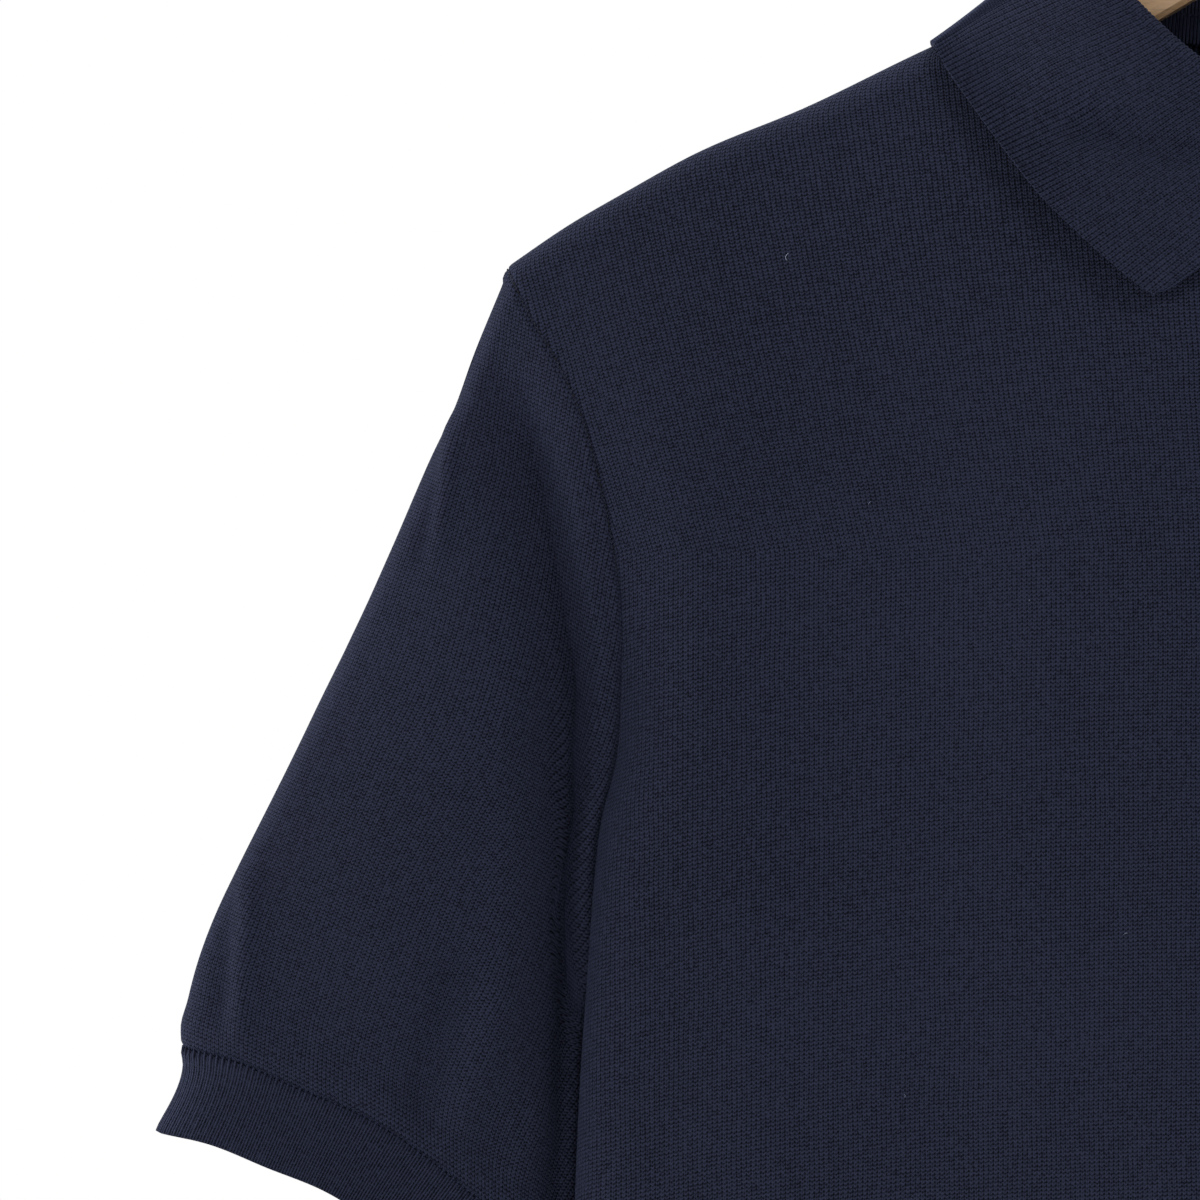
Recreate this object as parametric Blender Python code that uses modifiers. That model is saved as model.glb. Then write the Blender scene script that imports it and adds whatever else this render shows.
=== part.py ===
"""A short-sleeved polo sweater, buttoned at the neck, hanging on a flat wooden hanger.

The origin is where the hook bears on its rail, +Z is up and the front faces -Y. Each knitted
piece is an open sheet, lofted through sections along its own length, and Solidify gives it the
wall of the knit. All sections come from the tables and sizes below. The half at +X is worked
out, and the other half is its mirror image. Sizes are in metres, angles in degrees.
"""

import math
from collections import namedtuple

import bmesh
import bpy
import numpy as np
from mathutils import Vector

# Walls and clearances
JERSEY_WALL = 0.0016
RIB_WALL = 0.0022
GAP = 0.0003
SEAM_BACK = 0.0005  # how far each piece stays back from a seam line

# Heights of the body's main lines
HEM_TOP = -0.707
HEM_BOTTOM = -0.762
UNDERARM = -0.365
NECK_POINT_X, NECK_POINT_Z = 0.0745, -0.0977
FRONT_NECK_Z = -0.150
BACK_NECK_Z = -0.107
NECKLINE_SHAPE = 1.6

# Body thickness: a ridge over the hanger, then the cloth falls forward and back
RIDGE_RADIUS = 0.0075
FRONT_FALL = 0.022
BACK_FALL = 0.019
FALL_LENGTH = 0.060
FALL_POWER = 1.2
FALL_AT_SIDE = 0.75  # share of the fall that is left at the side
HALF_WIDTH = 0.21
SIDE_STRIP = 0.024  # width of the strip that turns round the side
BACK_STRIP = 0.060
SEAMS_MEET = -0.305  # below here the back's edge draws in to the front's
FLAT_WIDTH = 0.203
FLAT_SHARE = 0.90  # share of the columns on the flat of a panel
NECK_SHARE = 0.3025  # the column that ends at the neck point
NECK_COLUMNS = (0.190, 0.265, 0.291)  # columns between the slit and the neck point

# Counts of sections
ARM_ROWS = 14
ARM_CROWDING = 1.4  # over 1 draws the armhole rows up toward the shoulder
LOWER_ROWS = 5
SHOULDER_COLUMNS = 5
STRIP_COLUMNS = 4
SLEEVE_RINGS = 9
RING_CROWDING = 1.25
HEM_STEPS = (0.0, 0.24, 1.0)

# Sleeve and cuff
SLEEVE_OUTWARD = Vector((0.923, 0.0, 0.385))  # square to the sleeve, away from the body
SLEEVE_PUFF = 0.0056
PUFF_PLACE = 4.27  # puts the most puff near the cuff
SLEEVE_ROUNDING = 0.003
INNER_FOLD_BACK = 0.009  # how far the inner fold lies behind the middle plane
CUFF_FULLNESS = 0.8  # below 1 makes the mouth squarer
CUFF_TAPER = 0.05
CUFF_FRONT_DEPTH = 0.019
CUFF_BACK_DEPTH = 0.017
CUFF_HEIGHT = 0.0228
CUFF_FLARE = 0.0063
FLARE_FADE = 8
UNDERARM_STEP = 0.07
UNDERARM_SPREAD = 0.011
SPREAD_LOST_AT_SEAM = 0.75
UNDERARM_SETBACK = 0.014
VALLEY_HALF_WIDTH = 0.0065
VALLEY_START = 0.12  # share of the sleeve over which the valley comes in

# Collar
ROLL_RADIUS = 0.0026
ROLL_TURNS = (-70, -25, 25, 70)
LEAF_STEPS = (0.33, 0.67, 1.0)
STAND_LIFT = 0.0021  # the stand starts this far above the neckline
COLLAR_CLEAR = 0.0030

# Placket and buttons
SLIT_HALF_WIDTH = 0.012
BAND_HALF_WIDTH = 0.015
SLIT_ROWS = 9
BAND_BELOW_SLIT = 0.012
BUTTON_RADIUS = 0.00575
BUTTON_THICKNESS = 0.0026
BUTTON_CLEAR = 0.0009
BUTTON_HEIGHTS = (-0.159, -0.214, -0.269)
BUTTON_SEGMENTS = 24
HOLE_RADIUS = 0.0008
HOLE_OFFSET = 0.0013
HOLE_SEGMENTS = 8

# Hanger and hook
HANGER_THICKNESS = 0.010
HANGER_ROUNDING = 0.0040
HANGER_END_X = 0.186
HANGER_ARM = 0.0205
HANGER_CLEAR = 0.0026
ARM_START_X = 0.092
ARM_POINTS = 6
ARM_SLANT = 0.004  # the lower edge trails the upper by this much
NOSE_LENGTH = 0.010
NOSE_SINK = 0.002
NOSE_TURNS = (60, 30, 0, -30, -60)
HOOK_WIRE = 0.0017
HOOK_INNER = 0.0195
HOOK_FIRST, HOOK_LAST, HOOK_POINTS = -62, 190, 22
SHANK_TOP = -0.0455
SHANK_BEND = -0.0490
SHANK_SWAY = 0.0006
SIDES = 8  # flats round the hook's wire

Shoulder = namedtuple("Shoulder", "x height")
SHOULDER = (
    Shoulder(0.0000, -0.0630),
    Shoulder(0.0745, -0.0977),
    Shoulder(0.1120, -0.1140),
    Shoulder(0.1445, -0.1297),
    Shoulder(0.1770, -0.1435),
    Shoulder(0.1930, -0.1524),
    Shoulder(0.2093, -0.1619),
    Shoulder(0.2260, -0.1733),
)

# The armhole seam down to the underarm, then the side; bend is the turn round the side
Body = namedtuple("Body", "height width bend back_width")
BODY = (
    Body(-0.1100, 0.2460, 0, 0.2460),
    Body(-0.1733, 0.2260, 0, 0.2260),
    Body(-0.1860, 0.2200, 1, 0.2205),
    Body(-0.1963, 0.2138, 3, 0.2150),
    Body(-0.2084, 0.2079, 6, 0.2095),
    Body(-0.2273, 0.2020, 13, 0.2030),
    Body(-0.2462, 0.1979, 23, 0.1985),
    Body(-0.2624, 0.1955, 34, 0.1960),
    Body(-0.2867, 0.1952, 55, 0.1940),
    Body(-0.3056, 0.1963, 74, 0.1940),
    Body(-0.3205, 0.1998, 90, 0.1955),
    Body(-0.3420, 0.2022, 110, 0.1985),
    Body(-0.3650, 0.2038, 124, 0.2020),
    Body(-0.3839, 0.2052, 125, 0.2030),
    Body(-0.4244, 0.2071, 125, 0.2050),
    Body(-0.5600, 0.2100, 122, 0.2080),
    Body(-0.6700, 0.2080, 118, 0.2060),
    Body(-0.7070, 0.2040, 116, 0.2020),
    Body(-0.7200, 0.2015, 116, 0.1995),
    Body(-0.7620, 0.2010, 116, 0.1990),
)

# The seam between sleeve and cuff, from the outer fold to the inner one
CuffSeam = namedtuple("CuffSeam", "share x height lean")
CUFF_SEAM = (
    CuffSeam(0.000, 0.3134, -0.3830, 2),
    CuffSeam(0.117, 0.2984, -0.3866, 14),
    CuffSeam(0.250, 0.2822, -0.3934, 21),
    CuffSeam(0.407, 0.2633, -0.4015, 28),
    CuffSeam(0.555, 0.2470, -0.4123, 34),
    CuffSeam(0.688, 0.2336, -0.4236, 38),
    CuffSeam(0.844, 0.2190, -0.4380, 38),
    CuffSeam(1.000, 0.2060, -0.4530, 36),
)

# The long valley that falls down the sleeve beside the armhole seam
Valley = namedtuple("Valley", "height x depth")
VALLEY = (
    Valley(-0.1850, 0.2280, 0.0000),
    Valley(-0.2000, 0.2240, 0.0030),
    Valley(-0.2220, 0.2174, 0.0060),
    Valley(-0.2624, 0.2133, 0.0090),
    Valley(-0.3030, 0.2106, 0.0105),
    Valley(-0.3430, 0.2085, 0.0115),
    Valley(-0.3800, 0.2085, 0.0090),
    Valley(-0.4110, 0.2085, 0.0060),
    Valley(-0.4500, 0.2085, 0.0030),
)

# The collar from its front end round to the middle of the back
Collar = namedtuple("Collar", "roll_x roll_y roll_height edge_x edge_height side")
COLLAR = (
    Collar(0.0002, -0.0290, -0.1455, 0.0518, -0.1814, -1),
    Collar(0.0110, -0.0288, -0.1376, 0.0548, -0.1800, -1),
    Collar(0.0230, -0.0280, -0.1286, 0.0612, -0.1752, -1),
    Collar(0.0360, -0.0262, -0.1186, 0.0716, -0.1660, -1),
    Collar(0.0480, -0.0230, -0.1084, 0.0840, -0.1535, -1),
    Collar(0.0590, -0.0180, -0.0972, 0.0952, -0.1386, -1),
    Collar(0.0660, -0.0125, -0.0896, 0.1030, -0.1276, -1),
    Collar(0.0703, -0.0062, -0.0846, 0.1094, -0.1190, -1),
    Collar(0.0716, -0.0032, -0.0834, 0.1113, -0.1136, -1),
    Collar(0.0720, 0.0000, -0.0826, 0.1118, -0.1111, 0),
    Collar(0.0716, 0.0032, -0.0822, 0.1110, -0.1134, 1),
    Collar(0.0705, 0.0060, -0.0817, 0.1072, -0.1192, 1),
    Collar(0.0655, 0.0120, -0.0806, 0.0975, -0.1240, 1),
    Collar(0.0550, 0.0178, -0.0794, 0.0800, -0.1268, 1),
    Collar(0.0330, 0.0236, -0.0784, 0.0450, -0.1284, 1),
    Collar(0.0000, 0.0250, -0.0780, 0.0000, -0.1290, 1),
)

# A button's radius and height from its middle out, as shares of its own sizes
ButtonPoint = namedtuple("ButtonPoint", "radius height")
BUTTON_PROFILE = (
    ButtonPoint(0.00, 0.00),
    ButtonPoint(0.62, 0.00),
    ButtonPoint(0.78, 0.42),
    ButtonPoint(0.92, 0.50),
    ButtonPoint(1.00, 0.20),
    ButtonPoint(0.90, -0.50),
    ButtonPoint(0.00, -0.50),
)

# Upper and lower edge of the hanger's half outline, out to where its straight arm starts
HangerEdge = namedtuple("HangerEdge", "x top bottom")
HANGER = (
    HangerEdge(0.0000, -0.0520, -0.0830),
    HangerEdge(0.0150, -0.0560, -0.0870),
    HangerEdge(0.0300, -0.0665, -0.0946),
    HangerEdge(0.0500, -0.0836, -0.1064),
    HangerEdge(0.0640, -0.0955, -0.1146),
    HangerEdge(0.0760, -0.1030, -0.1210),
)

KNIT_NAVY = (0.014, 0.016, 0.029, 1.0)
BUTTON_NAVY = (0.020, 0.022, 0.034, 1.0)
BEECH = (0.68, 0.46, 0.29, 1.0)
STEEL = (0.72, 0.72, 0.70, 1.0)


def read(rows, column, at):
    """A column's value on a smooth curve through the rows, whose first column is the key."""
    keys = np.array([row[0] for row in rows])
    values = np.array([getattr(row, column) for row in rows])
    if keys[0] > keys[-1]:
        keys, values = keys[::-1], values[::-1]
    at = min(max(at, keys[0]), keys[-1])
    i = min(int(np.searchsorted(keys, at, side="right")) - 1, len(keys) - 2)
    slopes = np.gradient(values, keys)
    span = keys[i + 1] - keys[i]
    t = (at - keys[i]) / span
    return float(
        values[i] * (1 + 2 * t) * (1 - t) ** 2
        + values[i + 1] * t * t * (3 - 2 * t)
        + span * slopes[i] * t * (1 - t) ** 2
        - span * slopes[i + 1] * t * t * (1 - t)
    )


def ease(low, high, value):
    t = min(max((value - low) / (high - low), 0.0), 1.0)
    return t * t * (3 - 2 * t)


def body_depth(x, height, fall, lift=0.0):
    """How far the cloth stands from the middle plane, or a surface lifted off it by lift."""
    drop = read(SHOULDER, "height", abs(x)) + lift - height
    radius = RIDGE_RADIUS + lift
    if drop <= 0:
        return 0.0
    ridge = math.sqrt(radius**2 - max(radius - drop, 0.0) ** 2)
    hung = 1 - math.exp(-((drop / FALL_LENGTH) ** FALL_POWER))
    return ridge + fall * hung * (1 - (1 - FALL_AT_SIDE) * (x / HALF_WIDTH) ** 2)


def neckline(x, low):
    share = min(abs(x) / NECK_POINT_X, 1.0)
    return low + (NECK_POINT_Z - low) * share**NECKLINE_SHAPE


def panel_top(x, low):
    return neckline(x, low) if abs(x) < NECK_POINT_X else read(SHOULDER, "height", abs(x))


def front_section(column, height):
    """(x, y) of a front column, 0 at the centre and 1 at the armhole or side seam."""
    width = read(BODY, "width", height)
    bend = math.radians(max(read(BODY, "bend", height), 0.01))
    radius = SIDE_STRIP / bend
    flat = width - radius * math.sin(min(bend, math.pi / 2))
    if column <= FLAT_SHARE:
        x = flat * column / FLAT_SHARE
        return x, -body_depth(x, height, FRONT_FALL)
    turn = bend * (column - FLAT_SHARE) / (1 - FLAT_SHARE)
    x = flat + radius * math.sin(turn)
    return x, radius * (1 - math.cos(turn)) - body_depth(x, height, FRONT_FALL)


def side_edge(height):
    """(x, y) of the back's edge: the back armhole, then the side seam it shares with the front."""
    seam_x, seam_y = front_section(1.0, height)
    x = read(BODY, "back_width", height)
    y = body_depth(x, height, BACK_FALL)
    low = ease(SEAMS_MEET, UNDERARM, height)
    return x + (seam_x - x) * low, y + (seam_y - y) * low


def back_section(column, height):
    edge_x, edge_y = side_edge(height)
    x = edge_x * column
    into_strip = max(0.0, 1 - (edge_x - x) / BACK_STRIP)
    drop = body_depth(edge_x, height, BACK_FALL) - edge_y
    return x, body_depth(x, height, BACK_FALL) - drop * into_strip**2


def panel_point(section, low, column, down):
    """A point of a panel: down runs from 0 at its top edge to 1 at the top of the hem rib."""
    height = BACK_NECK_Z
    for _ in range(12):
        height = panel_top(section(column, height)[0], low)
    height += (HEM_TOP - height) * down
    return Vector((*section(column, height), height))


def front_point(column, down):
    return panel_point(front_section, FRONT_NECK_Z, column, down)


def back_point(column, down):
    return panel_point(back_section, BACK_NECK_Z, column, down)


def arm_share(row):
    """Share of the armhole's height at a row, with close rows on the ridge and at the underarm."""
    return ((1 - math.cos(math.pi * row / ARM_ROWS)) / 2) ** ARM_CROWDING


UNDERARM_DOWN = (SHOULDER[-1].height - UNDERARM) / (SHOULDER[-1].height - HEM_TOP)
ARM_SHARES = [arm_share(row) for row in range(ARM_ROWS + 1)]
DOWNS = [UNDERARM_DOWN * share for share in ARM_SHARES] + [
    UNDERARM_DOWN + (1 - UNDERARM_DOWN) * k / LOWER_ROWS for k in range(1, LOWER_ROWS + 1)
]


def panel_columns():
    """Columns of half a panel: one runs down the placket slit and one from the neck point."""
    slit = FLAT_SHARE * SLIT_HALF_WIDTH / FLAT_WIDTH
    return [
        0.0,
        slit,
        *NECK_COLUMNS,
        *np.linspace(NECK_SHARE, FLAT_SHARE, SHOULDER_COLUMNS, endpoint=False),
        *np.linspace(FLAT_SHARE, 1.0, STRIP_COLUMNS + 1),
    ]


def mirrored(row):
    """A half row, from the centre out, as a whole one from -X to +X."""
    return [Vector((-p.x, p.y, p.z)) for p in row[:0:-1]] + row


def kept_back(rows, edges, closed=False):
    """The same rows with the named edges (top, bottom, left, right) moved off their seams."""
    moved = [[p.copy() for p in row] for row in rows]
    across, along = len(rows[0]), len(rows)

    def shift(i, j, inner_i, inner_j, before, after):
        inward = rows[inner_i][inner_j] - rows[i][j]
        tangent = (rows[after[0]][after[1]] - rows[before[0]][before[1]]).normalized()
        inward -= tangent * inward.dot(tangent)
        moved[i][j] += inward.normalized() * SEAM_BACK

    for name, i, inner in (("top", 0, 1), ("bottom", along - 1, along - 2)):
        for j in range(across) if name in edges else ():
            before = (j - 1) % across if closed else max(j - 1, 0)
            after = (j + 1) % across if closed else min(j + 1, across - 1)
            shift(i, j, inner, j, (i, before), (i, after))
    for name, j, inner in (("left", 0, 1), ("right", across - 1, across - 2)):
        for i in range(along) if name in edges else ():
            shift(i, j, i, inner, (max(i - 1, 0), j), (min(i + 1, along - 1), j))
    return moved


def material(name, colour, roughness, metallic=0.0):
    made = bpy.data.materials.new(name)
    made.use_nodes = True
    shader = made.node_tree.nodes["Principled BSDF"]
    shader.inputs["Base Color"].default_value = colour
    shader.inputs["Roughness"].default_value = roughness
    shader.inputs["Metallic"].default_value = metallic
    return made


def place(name, mesh, finish, location=(0.0, 0.0, 0.0)):
    obj = bpy.data.objects.new(name, mesh)
    obj.location = location
    mesh.materials.append(finish)
    parts.objects.link(obj)
    return obj


def loft(name, rows, wall, finish, closed=False, skip=()):
    """A knitted piece: a sheet through rows of points, with the wall added by Solidify."""
    bm = bmesh.new()
    verts = [[bm.verts.new(p) for p in row] for row in rows]
    across = len(rows[0])
    for i in range(len(rows) - 1):
        for j in range(across if closed else across - 1):
            if (i, j) in skip:
                continue
            k = (j + 1) % across
            bm.faces.new((verts[i][j], verts[i + 1][j], verts[i + 1][k], verts[i][k]))
    bmesh.ops.delete(bm, geom=[v for v in bm.verts if not v.link_faces], context="VERTS")
    bmesh.ops.recalc_face_normals(bm, faces=bm.faces)
    mesh = bpy.data.meshes.new(name)
    bm.to_mesh(mesh)
    bm.free()
    obj = place(name, mesh, finish)
    thick = obj.modifiers.new("Knit wall", "SOLIDIFY")
    thick.thickness = wall
    thick.offset = 0
    mesh.shade_smooth()
    return obj


def build_panel(name, point, slit):
    columns = panel_columns()
    rows = [mirrored([point(column, down) for column in columns]) for down in DOWNS]
    middle = len(columns) - 1
    skip = {(i, j) for i in range(SLIT_ROWS) for j in (middle - 1, middle)} if slit else ()
    rows = kept_back(rows, ("top", "bottom", "left", "right"))
    loft(name, rows, JERSEY_WALL, knit, skip=skip)


def build_hem(name, section):
    columns = panel_columns()
    rows = []
    for step in HEM_STEPS:
        height = HEM_TOP + (HEM_BOTTOM - HEM_TOP) * step
        rows.append(mirrored([Vector((*section(c, height), height)) for c in columns]))
    loft(name, kept_back(rows, ("top", "left", "right")), RIB_WALL, rib)


def cuff_point(share, side, down):
    """A point of the cuff, share from the outer to the inner fold, down 0 at its seam."""
    lean = math.radians(read(CUFF_SEAM, "lean", share))
    across = math.sin(math.acos(1 - 2 * share)) ** CUFF_FULLNESS
    depth = CUFF_FRONT_DEPTH if side < 0 else CUFF_BACK_DEPTH
    reach = CUFF_HEIGHT * down
    flare = CUFF_FLARE * down**2 * (1 - share) ** FLARE_FADE
    return Vector(
        (
            read(CUFF_SEAM, "x", share) + reach * math.sin(lean) + flare,
            INNER_FOLD_BACK * share + side * depth * across * (1 - CUFF_TAPER * down),
            read(CUFF_SEAM, "height", share) - reach * math.cos(lean),
        )
    )


def sleeve_point(row, side, along):
    """A point of the sleeve on the given armhole row, along 0 at the armhole and 1 at the cuff."""
    share = ARM_SHARES[row]
    turn = row / ARM_ROWS
    along = max(along, UNDERARM_SETBACK * ease(0.5, 0.8, turn))
    start = (front_point if side < 0 else back_point)(1.0, UNDERARM_DOWN * share)
    end = cuff_point(share, side, 0.0)
    point = start.lerp(end, along)
    quick = (1 - math.exp(-along / UNDERARM_STEP)) / (1 - math.exp(-1 / UNDERARM_STEP))
    inner = ease(0.6, 1.0, turn)
    point.y = start.y + (end.y - start.y) * (along + (quick - along) * inner)
    point.y += side * SLEEVE_ROUNDING * math.sin(math.pi * along) * math.sin(math.pi * turn)
    spread = ease(0.35, 0.7, turn) * (1 - SPREAD_LOST_AT_SEAM * ease(0.8, 1.0, turn))
    point.x += UNDERARM_SPREAD * (quick - along) * spread
    puff = SLEEVE_PUFF * math.sin(math.pi * along**PUFF_PLACE) * (1 - share) ** 1.5
    point += SLEEVE_OUTWARD * puff
    from_fold = point.x - read(BODY, "width", point.z)
    centre = read(VALLEY, "x", point.z)
    trough = math.exp(-(((point.x - centre) / VALLEY_HALF_WIDTH) ** 2) / 2)
    depth = read(VALLEY, "depth", point.z) * trough * ease(0.0, 0.008, from_fold)
    point.y -= side * depth * ease(0.0, VALLEY_START, along)
    return point


def ring(point_at):
    """A closed ring of points, down the front from the outer fold and back up behind."""
    front = [point_at(row, -1) for row in range(ARM_ROWS + 1)]
    behind = [point_at(row, 1) for row in range(ARM_ROWS - 1, 0, -1)]
    return front + behind


def flipped(rows):
    return [[Vector((-p.x, p.y, p.z)) for p in row] for row in rows]


def build_sleeves():
    alongs = [(k / SLEEVE_RINGS) ** RING_CROWDING for k in range(SLEEVE_RINGS + 1)]
    sleeve = [ring(lambda row, side, a=a: sleeve_point(row, side, a)) for a in alongs]
    sleeve = kept_back(sleeve, ("top", "bottom"), closed=True)
    cuff = [
        ring(lambda row, side, d=d: cuff_point(ARM_SHARES[row], side, d))
        for d in (0.0, 0.5, 1.0)
    ]
    cuff = kept_back(cuff, ("top",), closed=True)
    for hand, turned in (("left", list), ("right", flipped)):
        loft(f"sleeve_{hand}", turned(sleeve), JERSEY_WALL, knit, closed=True)
        loft(f"cuff_{hand}", turned(cuff), RIB_WALL, rib, closed=True)


def collar_section(row):
    """Points from the neckline up the stand, over the roll and down the leaf to its edge."""
    widest = max(each.roll_x for each in COLLAR)
    neck_x = row.roll_x * NECK_POINT_X / widest
    front = row.roll_y < 0
    low = FRONT_NECK_Z if front else BACK_NECK_Z
    neck_z = neckline(neck_x, low)
    depth = body_depth(neck_x, neck_z, FRONT_FALL if front else BACK_FALL)
    if row.side == 0:
        depth = 0.0
    neck = Vector((neck_x, -depth if front else depth, neck_z + STAND_LIFT))
    roll = Vector((row.roll_x, row.roll_y, row.roll_height))
    fall = FRONT_FALL if row.side < 0 else BACK_FALL
    lifted = body_depth(row.edge_x, row.edge_height, fall, COLLAR_CLEAR)
    edge = Vector((row.edge_x, row.side * lifted, row.edge_height))
    down_stand = (neck - roll).normalized()
    down_leaf = (edge - roll).normalized()
    inner = (down_stand + down_leaf).normalized()
    outward = (down_leaf - down_stand).normalized()
    centre = roll + inner * ROLL_RADIUS
    arc = []
    for turn in np.radians(ROLL_TURNS):
        arc.append(centre + (outward * math.sin(turn) - inner * math.cos(turn)) * ROLL_RADIUS)
    leaf = [arc[-1].lerp(edge, step) for step in LEAF_STEPS]
    return [neck, neck.lerp(arc[0], 0.5)] + arc + leaf


def build_collar():
    half = [collar_section(row) for row in COLLAR]
    rows = half + flipped(half[-2::-1])
    loft("collar", kept_back(rows, ("top", "bottom")), RIB_WALL, rib)


def build_placket():
    """Two bands made from the front's own points: one moved out, one moved in."""
    lift = (JERSEY_WALL + RIB_WALL) / 2 + GAP
    half = FLAT_SHARE * BAND_HALF_WIDTH / FLAT_WIDTH
    columns = [0.0, half / 2, half]
    downs = DOWNS[: SLIT_ROWS + 1] + [DOWNS[SLIT_ROWS] + BAND_BELOW_SLIT]
    for name, shift in (("placket_upper", -lift), ("placket_under", lift)):
        rows = [mirrored([front_point(c, d) for c in columns]) for d in downs]
        rows = [[p + Vector((0, shift, 0)) for p in row] for row in rows]
        loft(name, kept_back(rows, ("top",)), RIB_WALL, rib)


def build_buttons():
    """Turned four-hole buttons that lie on the placket's face."""
    for number, height in enumerate(BUTTON_HEIGHTS, 1):
        bm = bmesh.new()
        verts = [
            bm.verts.new((p.radius * BUTTON_RADIUS, 0, p.height * BUTTON_THICKNESS))
            for p in BUTTON_PROFILE
        ]
        for a, b in zip(verts, verts[1:]):
            bm.edges.new((a, b))
        bmesh.ops.spin(
            bm,
            geom=bm.verts[:] + bm.edges[:],
            cent=(0, 0, 0),
            axis=(0, 0, 1),
            angle=math.tau,
            steps=BUTTON_SEGMENTS,
            use_merge=True,
        )
        bmesh.ops.remove_doubles(bm, verts=bm.verts, dist=0.00001)
        bmesh.ops.recalc_face_normals(bm, faces=bm.faces)
        mesh = bpy.data.meshes.new(f"button_{number}")
        bm.to_mesh(mesh)
        bm.free()
        band_face = body_depth(0.0, height, FRONT_FALL) + JERSEY_WALL / 2 + GAP + RIB_WALL
        out = band_face + BUTTON_CLEAR + BUTTON_THICKNESS / 2
        button = place(mesh.name, mesh, button_finish, (0.0, -out, height))
        button.rotation_euler.x = math.radians(90)
        drill_button(button)


def drill_button(button):
    bm = bmesh.new()
    for x in (-HOLE_OFFSET, HOLE_OFFSET):
        for y in (-HOLE_OFFSET, HOLE_OFFSET):
            made = bmesh.ops.create_cone(
                bm,
                cap_ends=True,
                segments=HOLE_SEGMENTS,
                radius1=HOLE_RADIUS,
                radius2=HOLE_RADIUS,
                depth=BUTTON_THICKNESS * 3,
            )
            bmesh.ops.translate(bm, verts=made["verts"], vec=(x, y, 0))
    mesh = bpy.data.meshes.new(f"{button.name}_drill")
    bm.to_mesh(mesh)
    bm.free()
    drill = bpy.data.objects.new(mesh.name, mesh)
    drill.location = button.location
    drill.rotation_euler = button.rotation_euler
    drill.hide_render = True
    drill.display_type = "WIRE"
    cutters.objects.link(drill)
    cut = button.modifiers.new("Holes", "BOOLEAN")
    cut.operation = "DIFFERENCE"
    cut.solver = "EXACT"
    cut.object = drill


def hanger_outline():
    """Half of the hanger's outline, along its top and back along its bottom."""
    top = [(e.x, e.top) for e in HANGER]
    bottom = [(e.x, e.bottom) for e in HANGER]
    for x in np.linspace(ARM_START_X, HANGER_END_X, ARM_POINTS):
        height = read(SHOULDER, "height", x) - HANGER_CLEAR
        top.append((x, height))
        bottom.append((x - ARM_SLANT, height - HANGER_ARM))
    end_x = HANGER_END_X - NOSE_SINK
    end_z = top[-1][1] - HANGER_ARM / 2
    nose = [
        (end_x + NOSE_LENGTH * math.cos(turn), end_z + HANGER_ARM / 2 * math.sin(turn))
        for turn in np.radians(NOSE_TURNS)
    ]
    return top + nose + bottom[::-1]


def build_hanger():
    half = hanger_outline()
    outline = half + [(-x, z) for x, z in half[-2:0:-1]]
    curve = bpy.data.curves.new("hanger", "CURVE")
    curve.dimensions = "2D"
    curve.fill_mode = "BOTH"
    curve.extrude = HANGER_THICKNESS / 2 - HANGER_ROUNDING
    curve.bevel_depth = HANGER_ROUNDING
    curve.bevel_resolution = 2
    curve.offset = -HANGER_ROUNDING
    spline = curve.splines.new("POLY")
    spline.points.add(len(outline) - 1)
    for point, (x, z) in zip(spline.points, outline):
        point.co = (x, z, 0, 1)
    spline.use_cyclic_u = True
    guide = bpy.data.objects.new("hanger_outline", curve)
    guide.rotation_euler.x = math.radians(90)
    cutters.objects.link(guide)
    bpy.context.view_layer.update()
    graph = bpy.context.evaluated_depsgraph_get()
    mesh = bpy.data.meshes.new_from_object(guide.evaluated_get(graph))
    mesh.transform(guide.matrix_world)
    mesh.name = "hanger"
    bpy.data.objects.remove(guide)
    bm = bmesh.new()
    bm.from_mesh(mesh)
    bmesh.ops.remove_doubles(bm, verts=bm.verts, dist=0.00002)
    bmesh.ops.recalc_face_normals(bm, faces=bm.faces)
    bm.to_mesh(mesh)
    bm.free()
    mesh.materials.clear()
    place("hanger", mesh, wood)


def build_hook():
    """A wire hook whose inside top is at the origin, on a short shank in the hanger's crown."""
    radius = HOOK_INNER + HOOK_WIRE
    centre = Vector((0, 0, -HOOK_INNER))
    points = [
        Vector((0, 0, HANGER[0].top + GAP)),
        Vector((0, 0, SHANK_BEND)),
        Vector((SHANK_SWAY, 0, SHANK_TOP)),
    ]
    for turn in np.radians(np.linspace(HOOK_FIRST, HOOK_LAST, HOOK_POINTS)):
        points.append(centre + Vector((math.cos(turn), 0, math.sin(turn))) * radius)
    curve = bpy.data.curves.new("hook", "CURVE")
    curve.dimensions = "3D"
    curve.bevel_depth = HOOK_WIRE
    curve.bevel_resolution = SIDES // 4
    curve.use_fill_caps = True
    spline = curve.splines.new("POLY")
    spline.points.add(len(points) - 1)
    for point, spot in zip(spline.points, points):
        point.co = (*spot, 1)
    obj = bpy.data.objects.new("hook", curve)
    curve.materials.append(steel)
    parts.objects.link(obj)


for old in list(bpy.data.objects):
    bpy.data.objects.remove(old)
parts = bpy.data.collections.new("Polo sweater on hanger")
cutters = bpy.data.collections.new("Cutters")
bpy.context.scene.collection.children.link(parts)
bpy.context.scene.collection.children.link(cutters)

knit = material("Fine navy jersey knit", KNIT_NAVY, 0.95)
rib = material("Navy rib knit", KNIT_NAVY, 0.95)
button_finish = material("Navy polyester button", BUTTON_NAVY, 0.35)
wood = material("Lacquered beech", BEECH, 0.4)
steel = material("Nickel-plated steel", STEEL, 0.25, 1.0)

build_panel("front", front_point, slit=True)
build_panel("back", back_point, slit=False)
build_hem("hem_front", front_section)
build_hem("hem_back", back_section)
build_sleeves()
build_collar()
build_placket()
build_buttons()
build_hanger()
build_hook()
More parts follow.
